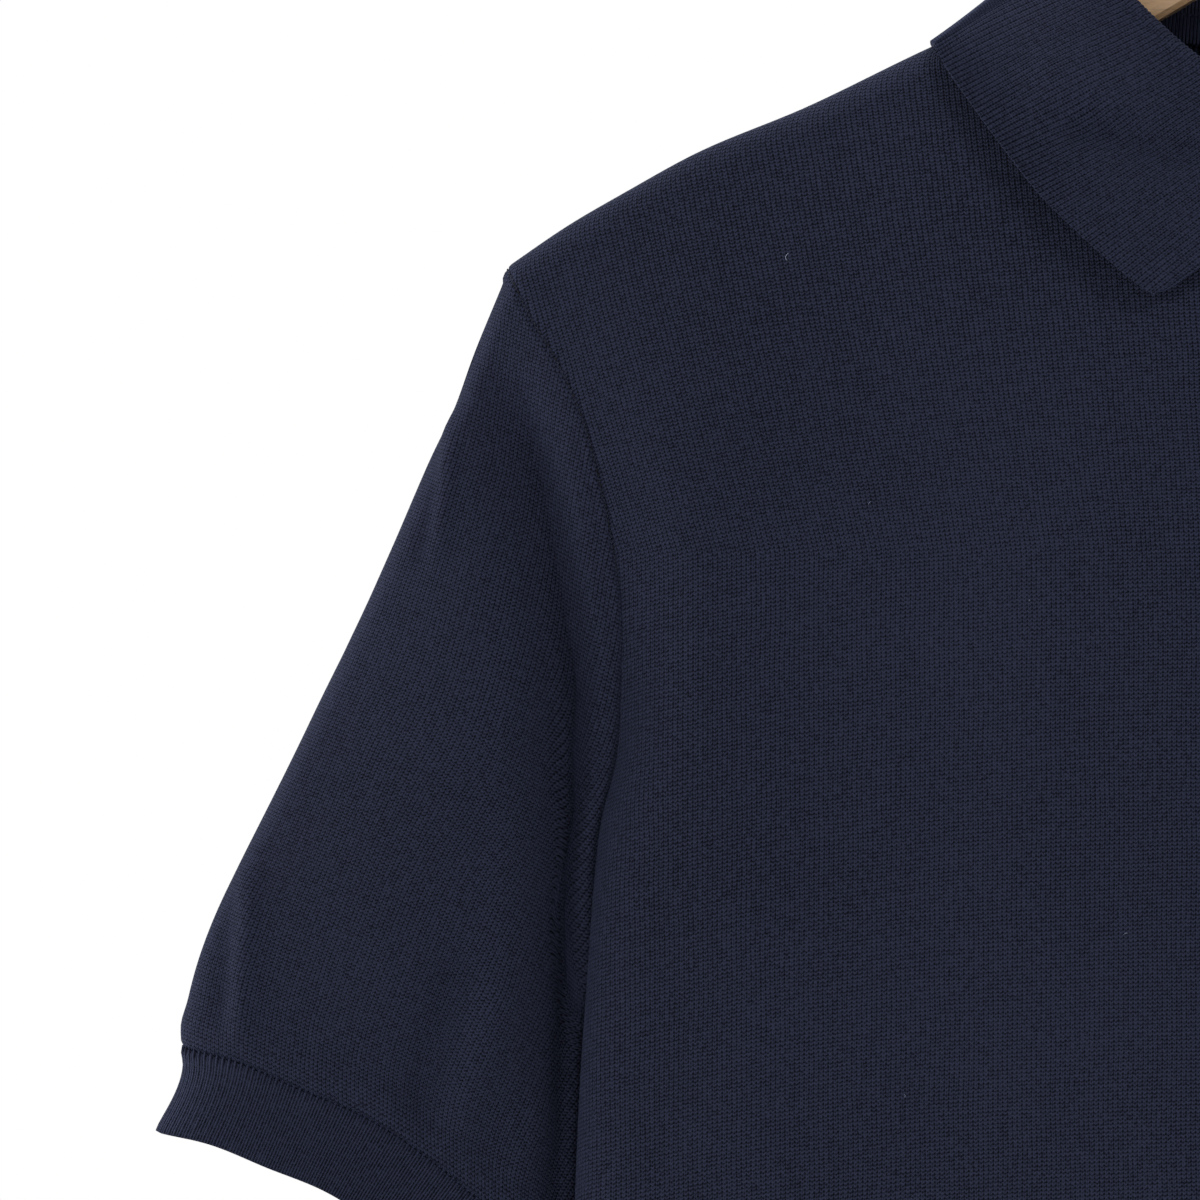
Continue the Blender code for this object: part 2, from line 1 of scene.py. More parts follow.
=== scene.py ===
import math
from functools import partial

import bmesh
import bpy
import numpy as np
from mathutils import Matrix, Vector


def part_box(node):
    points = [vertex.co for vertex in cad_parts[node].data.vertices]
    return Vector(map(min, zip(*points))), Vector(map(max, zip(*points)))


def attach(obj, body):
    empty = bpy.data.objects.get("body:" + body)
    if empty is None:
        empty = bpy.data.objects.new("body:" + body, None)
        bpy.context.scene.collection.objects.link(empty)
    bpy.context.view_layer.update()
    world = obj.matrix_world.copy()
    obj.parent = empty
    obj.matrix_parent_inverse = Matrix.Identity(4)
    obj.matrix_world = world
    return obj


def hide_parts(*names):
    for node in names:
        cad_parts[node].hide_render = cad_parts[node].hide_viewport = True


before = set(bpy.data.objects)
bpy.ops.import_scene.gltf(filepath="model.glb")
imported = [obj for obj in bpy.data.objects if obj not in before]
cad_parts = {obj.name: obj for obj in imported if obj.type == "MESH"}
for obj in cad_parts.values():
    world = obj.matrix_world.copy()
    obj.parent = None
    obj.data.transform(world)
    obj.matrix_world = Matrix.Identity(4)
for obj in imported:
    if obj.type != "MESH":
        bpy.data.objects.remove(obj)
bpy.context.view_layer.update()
print("frame loaded:", len(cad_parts), "pieces")


def fromHex(code):  # sRGB to linear
    channels = [int(code[i : i + 2], 16) / 255 for i in (1, 3, 5)]
    return (*[c / 12.92 if c <= 0.04045 else ((c + 0.055) / 1.055) ** 2.4 for c in channels], 1.0)


# An input is a number, a colour or another node's socket, in a row or under its name or number
def addNode(tree, kind, inputs, output=0, **settings):
    node = tree.nodes.new("ShaderNode" + kind)
    for key, value in settings.items():
        setattr(node, key, value)
    for key, value in inputs.items() if isinstance(inputs, dict) else enumerate(inputs):
        if isinstance(value, bpy.types.NodeSocket):
            tree.links.new(value, node.inputs[key])
        else:
            node.inputs[key].default_value = value
    return node.outputs[output]


def newMaterial(name, sockets):
    made = bpy.data.materials.new(name)
    made.use_nodes = True
    shader = made.node_tree.nodes["Principled BSDF"]
    for socket, value in sockets.items():
        shader.inputs[socket].default_value = value
    return made, made.node_tree, shader


def paintStops(ramp, *stops):  # each stop is a position and a linear colour
    for stop, (position, colour) in zip(ramp.node.color_ramp.elements, stops):
        stop.position, stop.color = position, colour


# A finish that one texture mixes from a dark and a light tone
def twoTone(name, kind, pattern, tones, sockets, stops=(0.0, 1.0)):
    made, tree, shader = newMaterial(name, sockets)
    place = addNode(tree, "TexCoord", {}, output="Object")
    texture = addNode(tree, kind, {"Vector": place, **pattern})
    ramp = addNode(tree, "ValToRGB", [texture])
    paintStops(ramp, *zip(stops, map(fromHex, tones)))
    tree.links.new(ramp, shader.inputs["Base Color"])
    return made


def together(*axes):  # coordinates side by side, as points
    return np.stack(np.broadcast_arrays(*axes), axis=-1)


def ease(low, high, value):
    t = np.clip((value - low) / (high - low), 0, 1)
    return t * t * (3 - 2 * t)


def along(table, key, column, at):  # smooth curve through a table's columns
    keys = np.array(table[key], float)
    values = np.array(table[column], float)
    if keys[0] > keys[-1]:
        keys, values = keys[::-1], values[::-1]
    at = np.clip(at, keys[0], keys[-1])
    i = np.clip(np.searchsorted(keys, at, side="right") - 1, 0, len(keys) - 2)
    slopes = np.gradient(values, keys)
    span = keys[i + 1] - keys[i]
    t = (at - keys[i]) / span
    rise = values[i] * (1 + 2 * t) * (1 - t) ** 2 + values[i + 1] * t * t * (3 - 2 * t)
    return rise + span * t * (1 - t) * (slopes[i] * (1 - t) - slopes[i + 1] * t)


def unit(vectors):
    return vectors / np.maximum(np.linalg.norm(vectors, axis=-1, keepdims=True), 1e-12)


def evenly(curve, samples=1600):  # parameter of a curve at even shares of its length
    t = np.linspace(0, 1, samples)
    spots = curve(t)
    steps = np.linalg.norm(np.diff(spots, axis=0), axis=1)
    length = np.concatenate([[0], np.cumsum(steps)])
    return length / length[-1], t, length[-1]


# Body shape in metres, shared by the front, the back, the hem and the sleeves
shoulderLine = {
    "x": [0.0000, 0.0745, 0.1120, 0.1445, 0.1770, 0.1930, 0.2093, 0.2260],
    "height": [-0.0630, -0.0977, -0.1140, -0.1297, -0.1435, -0.1524, -0.1619, -0.1733],
}
bodyCut = {
    "height": [-0.1100, -0.1733, -0.1860, -0.1963, -0.2084, -0.2273, -0.2462, -0.2624, -0.2867, -0.3056,
               -0.3205, -0.3420, -0.3650, -0.3839, -0.4244, -0.5600, -0.6700, -0.7070, -0.7200, -0.7620],
    "width": [0.2460, 0.2260, 0.2200, 0.2138, 0.2079, 0.2020, 0.1979, 0.1955, 0.1952, 0.1963,
              0.1998, 0.2022, 0.2038, 0.2052, 0.2071, 0.2100, 0.2080, 0.2040, 0.2015, 0.2010],
    "bend": [0, 0, 1, 3, 6, 13, 23, 34, 55, 74, 90, 110, 124, 125, 125, 122, 118, 116, 116, 116],
    "backWidth": [0.2460, 0.2260, 0.2205, 0.2150, 0.2095, 0.2030, 0.1985, 0.1960, 0.1940, 0.1940,
                  0.1955, 0.1985, 0.2020, 0.2030, 0.2050, 0.2080, 0.2060, 0.2020, 0.1995, 0.1990],
}
body = {
    "hemTop": -0.707,
    "hemBottom": -0.762,
    "underarm": -0.365,
    "neckX": 0.0745,
    "neckZ": -0.0977,
    "frontNeck": -0.150,
    "backNeck": -0.107,
    "neckShape": 1.6,
    "ridge": 0.0075,
    "frontFall": 0.022,
    "backFall": 0.019,
    "fallLength": 0.060,
    "fallShape": 1.2,
    "sideShallow": 0.25,
    "sideReach": 0.21,
    "sideStrip": 0.024,
    "backStrip": 0.060,
    "flatShare": 0.90,
    "flatWidth": 0.203,
    "neckShare": 0.3025,
    "wall": 0.0014,
}
cutAt = partial(along, bodyCut, "height")


def bodyDepth(x, height, fall, lift=0.0):
    drop = np.maximum(along(shoulderLine, "x", "height", np.abs(x)) + lift - height, 0)
    radius = body["ridge"] + lift
    ridge = np.sqrt(np.maximum(radius**2 - np.maximum(radius - drop, 0) ** 2, 0))
    hung = 1 - np.exp(-((drop / body["fallLength"]) ** body["fallShape"]))
    return ridge + fall * hung * (1 - body["sideShallow"] * (x / body["sideReach"]) ** 2)


def neckline(x, low):
    share = np.minimum(np.abs(x) / body["neckX"], 1)
    return low + (body["neckZ"] - low) * share ** body["neckShape"]


def either(facing, what):  # the front's size or the back's
    return np.where(facing < 0, body["front" + what], body["back" + what])


def panelTop(x, low):
    shoulder = along(shoulderLine, "x", "height", np.abs(x))
    return np.where(np.abs(x) < body["neckX"], neckline(x, low), shoulder)


def frontSection(column, height):
    width = cutAt("width", height)
    bend = np.radians(np.maximum(cutAt("bend", height), 0.01))
    radius = body["sideStrip"] / bend
    flat = width - radius * np.sin(np.minimum(bend, math.pi / 2))
    turn = bend * np.maximum(column - body["flatShare"], 0) / (1 - body["flatShare"])
    x = flat * np.minimum(column / body["flatShare"], 1) + radius * np.sin(turn)
    return x, radius * (1 - np.cos(turn)) - bodyDepth(x, height, body["frontFall"])


def sideEdge(height):
    seamX, seamY = frontSection(np.ones_like(height), height)
    x = cutAt("backWidth", height)
    y = bodyDepth(x, height, body["backFall"])
    low = 1 - ease(body["underarm"], -0.305, height)
    return x + (seamX - x) * low, y + (seamY - y) * low


def backSection(column, height):
    edgeX, edgeY = sideEdge(height)
    x = edgeX * column
    intoStrip = np.maximum(0, 1 - (edgeX - x) / body["backStrip"])
    drop = bodyDepth(edgeX, height, body["backFall"]) - edgeY
    return x, bodyDepth(x, height, body["backFall"]) - drop * intoStrip**2


def panelPoint(section, low, column, down):
    size = np.abs(column)
    top = np.full_like(size, body["backNeck"])
    for _ in range(14):  # the top edge and the section settle together
        top = panelTop(section(size, top)[0], low)
    height = top + (body["hemTop"] - top) * down
    x, y = section(size, height)
    return together(np.sign(column) * x, y, height)


frontPoint = partial(panelPoint, frontSection, body["frontNeck"])
backPoint = partial(panelPoint, backSection, body["backNeck"])
shoulderEnd = shoulderLine["height"][-1]
underarmDown = (shoulderEnd - body["underarm"]) / (shoulderEnd - body["hemTop"])


def normalsOf(points, closed=False):
    acrossStep = np.gradient(points, axis=1)
    if closed:
        acrossStep[:, 0] = acrossStep[:, -1] = (points[:, 1] - points[:, -2]) / 2
    return unit(np.cross(acrossStep, np.gradient(points, axis=0)))


def lengthAcross(across, y):  # along each row, from its first point
    steps = np.hypot(np.diff(across, axis=1), np.diff(y, axis=1))
    return np.concatenate([np.zeros((len(steps), 1)), np.cumsum(steps, axis=1)], axis=1)


def turnedOut(normals, row, column, side):  # normals that face the front (-1) or the back (1) at one spot
    return normals if normals[row, column, 1] * side > 0 else -normals


def crease(x, z, start, end, halfWidth, rise, taper=0.25):  # soft ridge, or a trough with a negative rise
    run = np.array(end, float) - np.array(start, float)
    length = np.linalg.norm(run)
    run /= length
    t = ((x - start[0]) * run[0] + (z - start[1]) * run[1]) / length
    off = (x - start[0]) * run[1] - (z - start[1]) * run[0]
    ends = ease(0, taper, t) * (1 - ease(1 - taper, 1, t))
    return rise * ends * np.exp(-((off / halfWidth) ** 2) / 2)


def bell(value, width):  # 1 at nought, and near nothing two widths away
    return np.exp(-((value / width) ** 2))


def uneven(x, z, size, seed):  # slow, irregular swell between about -1 and 1
    total = 0
    for k in range(4):
        angle = seed * 1.7 + k * 2.4
        wave = (x * np.cos(angle) + z * np.sin(angle)) / (size * (1 + 0.37 * k))
        total = total + np.sin(math.tau * wave + seed * 3.1 + k * 1.3)
    return total / 2.6


mergeGap = 0.00001


def newObject(name, data):
    obj = bpy.data.objects.new(name, data)
    bpy.context.scene.collection.objects.link(obj)
    return obj


def meshObject(name, bm, *finishes):
    mesh = bpy.data.meshes.new(name)
    bm.to_mesh(mesh)
    bm.free()
    mesh.shade_smooth()
    for finish in finishes:
        mesh.materials.append(finish)
    return newObject(name, mesh)


# A grid moved onto a surface. Each knit has its own side of it, and gone picks the faces to cut away.
def placeCloth(name, points, stitches, outward, wall, outside, inside, closed=False, gone=None):
    rows, columns = points.shape[:2]
    bm = bmesh.new()
    bmesh.ops.create_grid(bm, x_segments=columns - 1, y_segments=rows - 1, size=0.5)
    knitMap = bm.loops.layers.uv.new("knitMap")
    spots = []
    for vert in bm.verts:
        i = round((vert.co.x + 0.5) * (columns - 1))
        j = round((vert.co.y + 0.5) * (rows - 1))
        vert.co = points[j, i]
        spots.append((j, i))
    bm.verts.index_update()
    for face in bm.faces:
        for corner in face.loops:
            corner[knitMap].uv = stitches[spots[corner.vert.index]]
    if gone is not None:
        lost = [face for face in bm.faces if gone(face.calc_center_median())]
        bmesh.ops.delete(bm, geom=lost, context="FACES")
    if outward is not None:
        bm.normal_update()
        bm.faces.ensure_lookup_table()
        middle = bm.faces[len(bm.faces) // 2]
        if middle.normal.dot(Vector(outward[spots[middle.verts[0].index]])) < 0:
            bmesh.ops.reverse_faces(bm, faces=bm.faces)
    if closed:
        bmesh.ops.remove_doubles(bm, verts=bm.verts, dist=mergeGap)
    if outward is None:
        bmesh.ops.recalc_face_normals(bm, faces=bm.faces)
    obj = meshObject(name, bm, outside, inside)
    if wall:
        thick = obj.modifiers.new("Cloth thickness", "SOLIDIFY")
        thick.thickness = wall
        thick.offset = 0
        thick.material_offset = 1
        thick.material_offset_rim = 0
    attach(obj, "root")
    return obj


# Columns at even shares of a curve's length, with the part of a rib that each one stands at
def ribGrid(curve, band):
    share, parameter, length = evenly(curve)
    ribs = round(length / band["pitch"])
    even = np.linspace(0, 1, ribs * band["perRib"] + 1)
    t, down = np.meshgrid(np.interp(even, share, parameter), np.linspace(0, 1, band["rows"] + 1))
    return t, down, np.broadcast_to(even * ribs, t.shape), ribs, length


# A ribbed band: its outside and inside are one wrapped grid, because each has its own relief.
# Show scales the ribs, sunk lowers the outside alone, and ends thins the band away.
def placeRib(name, band, points, normals, phase, downMm, finish, show=1, sunk=0, ends=1):
    ribWave = band["ribDepth"] * np.cos(math.tau * phase) * show
    front = (band["wall"] / 2 + ribWave - sunk) * ends
    back = (band["wall"] / 2 - ribWave) * ends
    outside = points + normals * front[..., None]
    inside = points - normals * back[..., None]
    stitches = together(phase * band["pitch"] * 1000, downMm)
    wrap = np.concatenate([outside, points[-1:], inside[::-1], points[:1], outside[:1]])
    knit = np.concatenate([stitches, stitches[-1:], stitches[::-1], stitches[:1], stitches[:1]])
    return placeCloth(name, wrap, knit, None, 0, finish, finish, closed=True)


# Fine combed cotton: matt loops, each lit on its crown, with painted shade in the pits between them and a
# short bloom of fibre.
# A scale is noise cells to the metre: a fibre's 1900 is one every 0.5 mm, coarser than real so that it shows.
knitFinish = {
    "pit": "#050713",
    "crown": "#2d3145",
    "pitStop": 0.22,
    "crownStop": 0.92,
    "sockets": {
        "Roughness": 0.92,
        "Specular IOR Level": 0.10,
        "Sheen Weight": 0.15,
        "Sheen Roughness": 0.24,
        "Sheen Tint": fromHex("#93a4dc"),
    },
    "wander": 1.2,
    "wanderScale": 42.0,
    "fibreScale": 1900.0,
    "cloudScale": 14.0,
    "gapShape": 1.6,
    # heights over which the wale grooves get deeper painted shade and a deeper bump, for light from above
    "topLitLow": -0.27,
    "topLitHigh": -0.15,
    "topLitWaleDeepening": 1.6,
    # painted shade on one leg of each loop, with a small bump as well
    "legShadeAndRidge": 0.07,
    "loopTone": 0.20,
    "fibreTone": 1.20,
    "cloudTone": 0.25,
    "toneShift": 0.70,
    "fibreLift": 0.30,
    "bump": 0.00042,
}


def knitMaterial(name, waleMm, courseMm, lean, waleDeep, courseDeep, pitDeep, legDeep, ribbed=False):
    made, tree, shader = newMaterial(name, knitFinish["sockets"])
    add = partial(addNode, tree)

    def calc(operation, *inputs):
        return add("Math", inputs, operation=operation)

    place = add("TexCoord", {}, output="Object")
    knit = add("UVMap", {}, uv_map="knitMap")
    drift = {"Vector": place, "Scale": knitFinish["wanderScale"], "Detail": 2.0}
    drift = add("TexNoise", drift, output="Color")
    drift = add("VectorMath", [drift, (0.5, 0.5, 0.5)], operation="SUBTRACT")
    wander = (0.0 if ribbed else knitFinish["wander"], knitFinish["wander"], 0.0)
    knit = add("VectorMath", [drift, wander, knit], operation="MULTIPLY_ADD")
    across = add("SeparateXYZ", [knit])
    upward = add("SeparateXYZ", [knit], output=1)
    wale = calc("DIVIDE", across, waleMm)
    nearest = calc("ADD", wale, 0.5)
    offCentre = calc("FRACT", nearest)
    offCentre = calc("SUBTRACT", offCentre, 0.5)
    offCentre = calc("ABSOLUTE", offCentre)
    course = calc("DIVIDE", upward, courseMm)
    leg = calc("MULTIPLY_ADD", offCentre, -lean, course)
    waleTurn = calc("MULTIPLY", wale, math.tau)
    waleWave = calc("COSINE", waleTurn)
    legTurn = calc("MULTIPLY", leg, math.tau)
    courseWave = calc("COSINE", legTurn)
    between = calc("MULTIPLY_ADD", waleWave, -0.5, 0.5)
    gap = calc("MULTIPLY_ADD", courseWave, -0.5, 0.5)
    gap = calc("POWER", gap, knitFinish["gapShape"])
    pit = calc("MULTIPLY", between, gap)
    height = add("SeparateXYZ", [place], output=2)
    topLitWaleDeep = waleDeep * (1.0 if ribbed else knitFinish["topLitWaleDeepening"])  # painted shade deepens in the wale grooves high on the body, standing in for light from above, and their bump deepens there too
    groove = add("MapRange", [height, knitFinish["topLitLow"], knitFinish["topLitHigh"], waleDeep, topLitWaleDeep])
    groove = calc("MULTIPLY", between, groove)
    relief = calc("SUBTRACT", 1.0, groove)
    relief = calc("MULTIPLY_ADD", gap, -courseDeep, relief)
    relief = calc("MULTIPLY_ADD", pit, -pitDeep, relief)
    legWave = calc("MULTIPLY", waleWave, waleWave)  # two legs to a loop
    relief = calc("MULTIPLY_ADD", legWave, -legDeep, relief)
    if not ribbed:  # one leg of each loop gets painted shade, standing in for light falling from one side, and the bump raises it a little too
        legShadeAndRidge = calc("SUBTRACT", wale, course)
        legShadeAndRidge = calc("MULTIPLY", legShadeAndRidge, math.tau)
        legShadeAndRidge = calc("COSINE", legShadeAndRidge)
        relief = calc("MULTIPLY_ADD", legShadeAndRidge, knitFinish["legShadeAndRidge"], relief)
    fibre = add("TexNoise", {"Vector": place, "Scale": knitFinish["fibreScale"], "Detail": 2.0})
    cloud = add("TexNoise", {"Vector": place, "Scale": knitFinish["cloudScale"], "Detail": 3.0})
    waleNumber = calc("FLOOR", nearest)
    courseNumber = calc("ADD", leg, 0.5)
    courseNumber = calc("FLOOR", courseNumber)
    loop = add("CombineXYZ", [waleNumber, courseNumber])
    loopTone = add("TexWhiteNoise", {"Vector": loop}, noise_dimensions="2D")
    # Painted shade: the loops' relief sets the colour, so the pits and grooves between loops are painted
    # darker
    shade = relief
    for tone, key in ((loopTone, "loopTone"), (fibre, "fibreTone"), (cloud, "cloudTone")):
        shade = calc("MULTIPLY_ADD", tone, knitFinish[key], shade)
    shade = calc("SUBTRACT", shade, knitFinish["toneShift"])
    ramp = add("ValToRGB", [shade])
    paintStops(ramp, *[(knitFinish[key + "Stop"], fromHex(knitFinish[key])) for key in ("pit", "crown")])
    raised = calc("MULTIPLY_ADD", fibre, knitFinish["fibreLift"], relief)
    bump = add("Bump", {"Height": raised, "Strength": 1.0, "Distance": knitFinish["bump"]})
    tree.links.new(ramp, shader.inputs["Base Color"])
    tree.links.new(bump, shader.inputs["Normal"])
    return made


jerseyKnit = knitMaterial("Cotton stocking stitch, right side", waleMm=1.29, courseMm=1.10, lean=0.7,
                          waleDeep=0.15, courseDeep=0.37, pitDeep=0.24, legDeep=0.36)
jerseyPurl = knitMaterial("Cotton stocking stitch, purl side", waleMm=1.29, courseMm=1.10, lean=0.0,
                          waleDeep=0.50, courseDeep=0.25, pitDeep=0.20, legDeep=0.0)
collarRib = knitMaterial("Cotton fine rib, collar", waleMm=1.45, courseMm=1.00, lean=0.7,
                         waleDeep=0.16, courseDeep=0.24, pitDeep=0.16, legDeep=0.46, ribbed=True)
cuffRib = knitMaterial("Cotton one-by-one rib, cuffs and hem", waleMm=0.80, courseMm=0.90, lean=0.7,
                       waleDeep=0.78, courseDeep=0.10, pitDeep=0.06, legDeep=0.0, ribbed=True)
print("knit materials made")

panel = {
    "columns": 164,
    "rows": 200,
    "neckColumns": 0.30,
    "flatColumns": 0.78,
    "crowdSide": 1.9,
    "crowdTop": 1.45,
    "seamDip": 0.0013,
    "seamWidth": 0.0009,
    "blouse": 0.0022,
    "hemDip": 0.0012,
    "slitHalf": 0.0118,
    "slitBottom": -0.262,
}


def panelGrid():
    half = panel["columns"] // 2
    t = np.linspace(0, 1, half + 1)
    neckSteps = round(half * panel["neckColumns"])
    flatSteps = round(half * panel["flatColumns"])
    knots = [0, neckSteps / half, flatSteps / half, 1]
    size = np.interp(t, knots, [0, body["neckShare"], body["flatShare"], 1.0])
    last = t > flatSteps / half  # columns draw closer toward the seam
    into = (size[last] - body["flatShare"]) / (1 - body["flatShare"])
    size[last] = body["flatShare"] + (1 - body["flatShare"]) * (1 - (1 - into) ** panel["crowdSide"])
    column = np.concatenate([-size[:0:-1], size])
    down = np.linspace(0, 1, panel["rows"] + 1) ** panel["crowdTop"]
    return np.meshgrid(column, down)


# Wales hang upright and open over the shoulder, and courses droop toward the sides
def panelStitches(points):
    x, z = points[..., 0], points[..., 2]
    total = lengthAcross(x, points[..., 1])
    total = total - total[:, [total.shape[1] // 2]]
    reach = np.abs(total)
    course = z + 0.40 * reach**2 + 14 * reach**5
    course = course + 0.10 * np.clip(z + 0.24, 0, None) + 0.15 * np.clip(z + 0.135, 0, None)
    return 1000 * together(total / (1 + 1.6 * np.clip(z + 0.25, 0, 0.15)), course)


def seamFade(height):  # the seam lies flat where it turns under the arm
    return 0.25 + 0.75 * ease(-0.28, -0.235, height)


def sideFolds(vary):  # start and end as x and height, half width, rise, and the share that tapers at each end
    return [
        ((0.196, -0.185), (0.150, -0.420), 0.016, 0.0012 + 0.0002 * vary, 0.25),
        ((0.172, -0.400 + 0.06 * vary), (0.176 + 0.010 * vary, -0.705), 0.013, 0.0066 + 0.0016 * vary, 0.20),
        ((0.140, -0.420 + 0.05 * vary), (0.148 + 0.012 * vary, -0.706), 0.011, -0.0062, 0.20),
        ((0.100 + 0.018 * vary, -0.430 + 0.11 * vary), (0.112, -0.706), 0.013, 0.0068 - 0.0016 * vary, 0.25),
        ((0.062 - 0.018 * vary, -0.470 - 0.05 * vary), (0.070, -0.706), 0.011, -0.0056, 0.25),
        ((0.185, -0.385), (0.118 + 0.02 * vary, -0.470), 0.010, 0.0016, 0.25),
    ]


def middleFolds(side):
    return [
        ((0.016 * side, -0.440), (0.026 * side, -0.706), 0.014, 0.0062, 0.20),
        ((-0.090, -0.520), (0.020, -0.575), 0.012, -0.0018, 0.25),
        ((0.120, -0.600), (0.020, -0.640), 0.010, 0.0018, 0.25),
    ]


def panelRelief(points, column, side):
    x, z = points[..., 0], points[..., 2]
    offSeam = 1 - ease(0.90, 0.99, np.abs(column))
    relief = np.zeros_like(x)
    for hand in (-1, 1):  # no two of the four sides fold alike
        for fold in sideFolds(side * 0.6 + hand * 0.35):
            relief += crease(hand * x, z, *fold)
    for fold in middleFolds(side):
        relief += crease(x, z, *fold)
    relief += (0.0005 + 0.0007 * ease(-0.40, -0.55, z)) * uneven(x, z, 0.11, 1.0 + side)
    nearTop = ease(0, 0.03, panelTop(x, either(side, "Neck")) - z)
    relief *= offSeam * nearTop
    fromSeam = (1 - np.abs(column)) / (1 - body["flatShare"]) * body["sideStrip"]
    relief -= panel["seamDip"] * seamFade(z) * bell(fromSeam, panel["seamWidth"])
    toHem = z - body["hemTop"]
    relief += panel["blouse"] * bell(toHem - 0.016, 0.014) * offSeam  # the knit blouses over the hem rib
    relief -= panel["hemDip"] * bell(toHem, 0.0018)
    return relief


def inSlit(spot):
    return abs(spot.x) < panel["slitHalf"] and spot.z > panel["slitBottom"] and spot.y < 0


for name, node, point, side in (("frontCloth", "front", frontPoint, -1), ("backCloth", "back", backPoint, 1)):
    column, down = panelGrid()
    points = point(column, down)
    normals = turnedOut(normalsOf(points), panel["rows"] // 2, panel["columns"] // 2, side)
    cloth = points + normals * panelRelief(points, column, side)[..., None]
    obj = placeCloth(name, cloth, panelStitches(points), normals, body["wall"], jerseyKnit, jerseyPurl,
                     gone=inSlit if side < 0 else None)
    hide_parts(node)
print("front and back made")

cuffSeam = {
    "share": [0.000, 0.117, 0.250, 0.407, 0.555, 0.688, 0.844, 1.000],
    "x": [0.3134, 0.2984, 0.2822, 0.2633, 0.2470, 0.2336, 0.2190, 0.2060],
    "height": [-0.3830, -0.3866, -0.3934, -0.4015, -0.4123, -0.4236, -0.4380, -0.4530],
    "lean": [2, 14, 21, 28, 34, 38, 38, 36],
}
valley = {  # the long trough where the sleeve meets the body
    "height": [-0.1850, -0.2084, -0.2273, -0.2462, -0.2651, -0.2840, -0.3029,
               -0.3245, -0.3434, -0.3596, -0.3760, -0.4080, -0.4500],
    "x": [0.2270, 0.2211, 0.2172, 0.2140, 0.2110, 0.2082, 0.2092,
          0.2080, 0.2080, 0.2070, 0.2070, 0.2078, 0.2090],
    "depth": [0.0000, 0.0060, 0.0105, 0.0120, 0.0130, 0.0138, 0.0132,
              0.0118, 0.0104, 0.0092, 0.0082, 0.0065, 0.0040],
}
sleeve = {
    "around": 224,
    "rows": 104,
    "axis": (0.385, 0.0, -0.923),
    "outward": (0.923, 0.0, 0.385),
    "bow": 0.003,
    "spread": 0.011,
    "spreadRun": 0.07,
    "puff": 0.0051,
    "puffShape": 4.27,
    "slack": 0.0010,
    "dent": 0.0009,
    "dentRun": 0.175,
    "valleyOuter": 0.0085,
    "valleyInner": 0.0045,
    "waleFan": 0.18,
    "waleLean": 0.05,
    "fanCentre": 0.330,
    "fanFade": 0.100,
    "walesOpen": 1070,
    "coursesOpen": 1140,
}
sleeveFolds = [  # start and end as x and height, half width and rise
    ((0.235, -0.23), (0.262, -0.39), 0.012, 0.001),
    ((0.27, -0.27), (0.29, -0.35), 0.01, -0.0009),
    ((0.237, -0.348), (0.2545, -0.413), 0.0048, -0.0046),
    ((0.227, -0.356), (0.242, -0.411), 0.0052, 0.0034),
    ((0.2152, -0.39), (0.229, -0.445), 0.0035, 0.0014),
]
sleeveFrontFolds = [
    ((0.2395, -0.206), (0.2455, -0.256), 0.0016, 0.0012),
    ((0.244, -0.215), (0.25, -0.26), 0.002, -0.0009),
    ((0.2945, -0.325), (0.299, -0.393), 0.0022, 0.0018),
    ((0.3, -0.335), (0.3045, -0.393), 0.0026, -0.0014),
]
cuff = {
    "pitch": 0.00160,
    "perRib": 5,
    "rows": 14,
    "height": 0.0228,
    "frontDepth": 0.019,
    "backDepth": 0.017,
    "backLonger": 0.035,
    "innerBack": 0.009,
    "flare": 0.0063,
    "scallop": 0.022,
    "ribDepth": 0.00006,
    "wall": 0.0016,
}
seamAt = partial(along, cuffSeam, "share")
valleyAt = partial(along, valley, "height")


def cuffPoint(share, side, down):
    lean = np.radians(seamAt("lean", share))
    fullness = np.sin(np.arccos(np.clip(1 - 2 * share, -1, 1))) ** (0.8 - 0.38 * ease(0.45, 0.85, share))
    depth = np.where(side < 0, cuff["frontDepth"], cuff["backDepth"])
    reach = cuff["height"] * down * np.where(side > 0, 1 + cuff["backLonger"] * fullness, 1.0)
    flareOut = down**2 - 1.25 * down * (1 - down) ** 2  # drawn in below the seam, then out to the edge
    x = seamAt("x", share) + reach * np.sin(lean) + cuff["flare"] * flareOut * (1 - share) ** 8
    y = cuff["innerBack"] * share + side * depth * fullness * (1 - 0.05 * down)
    z = seamAt("height", share) - reach * np.cos(lean)
    return together(x, y, z)


def armShare(turn):
    return ((1 - np.cos(math.pi * turn)) / 2) ** 1.4


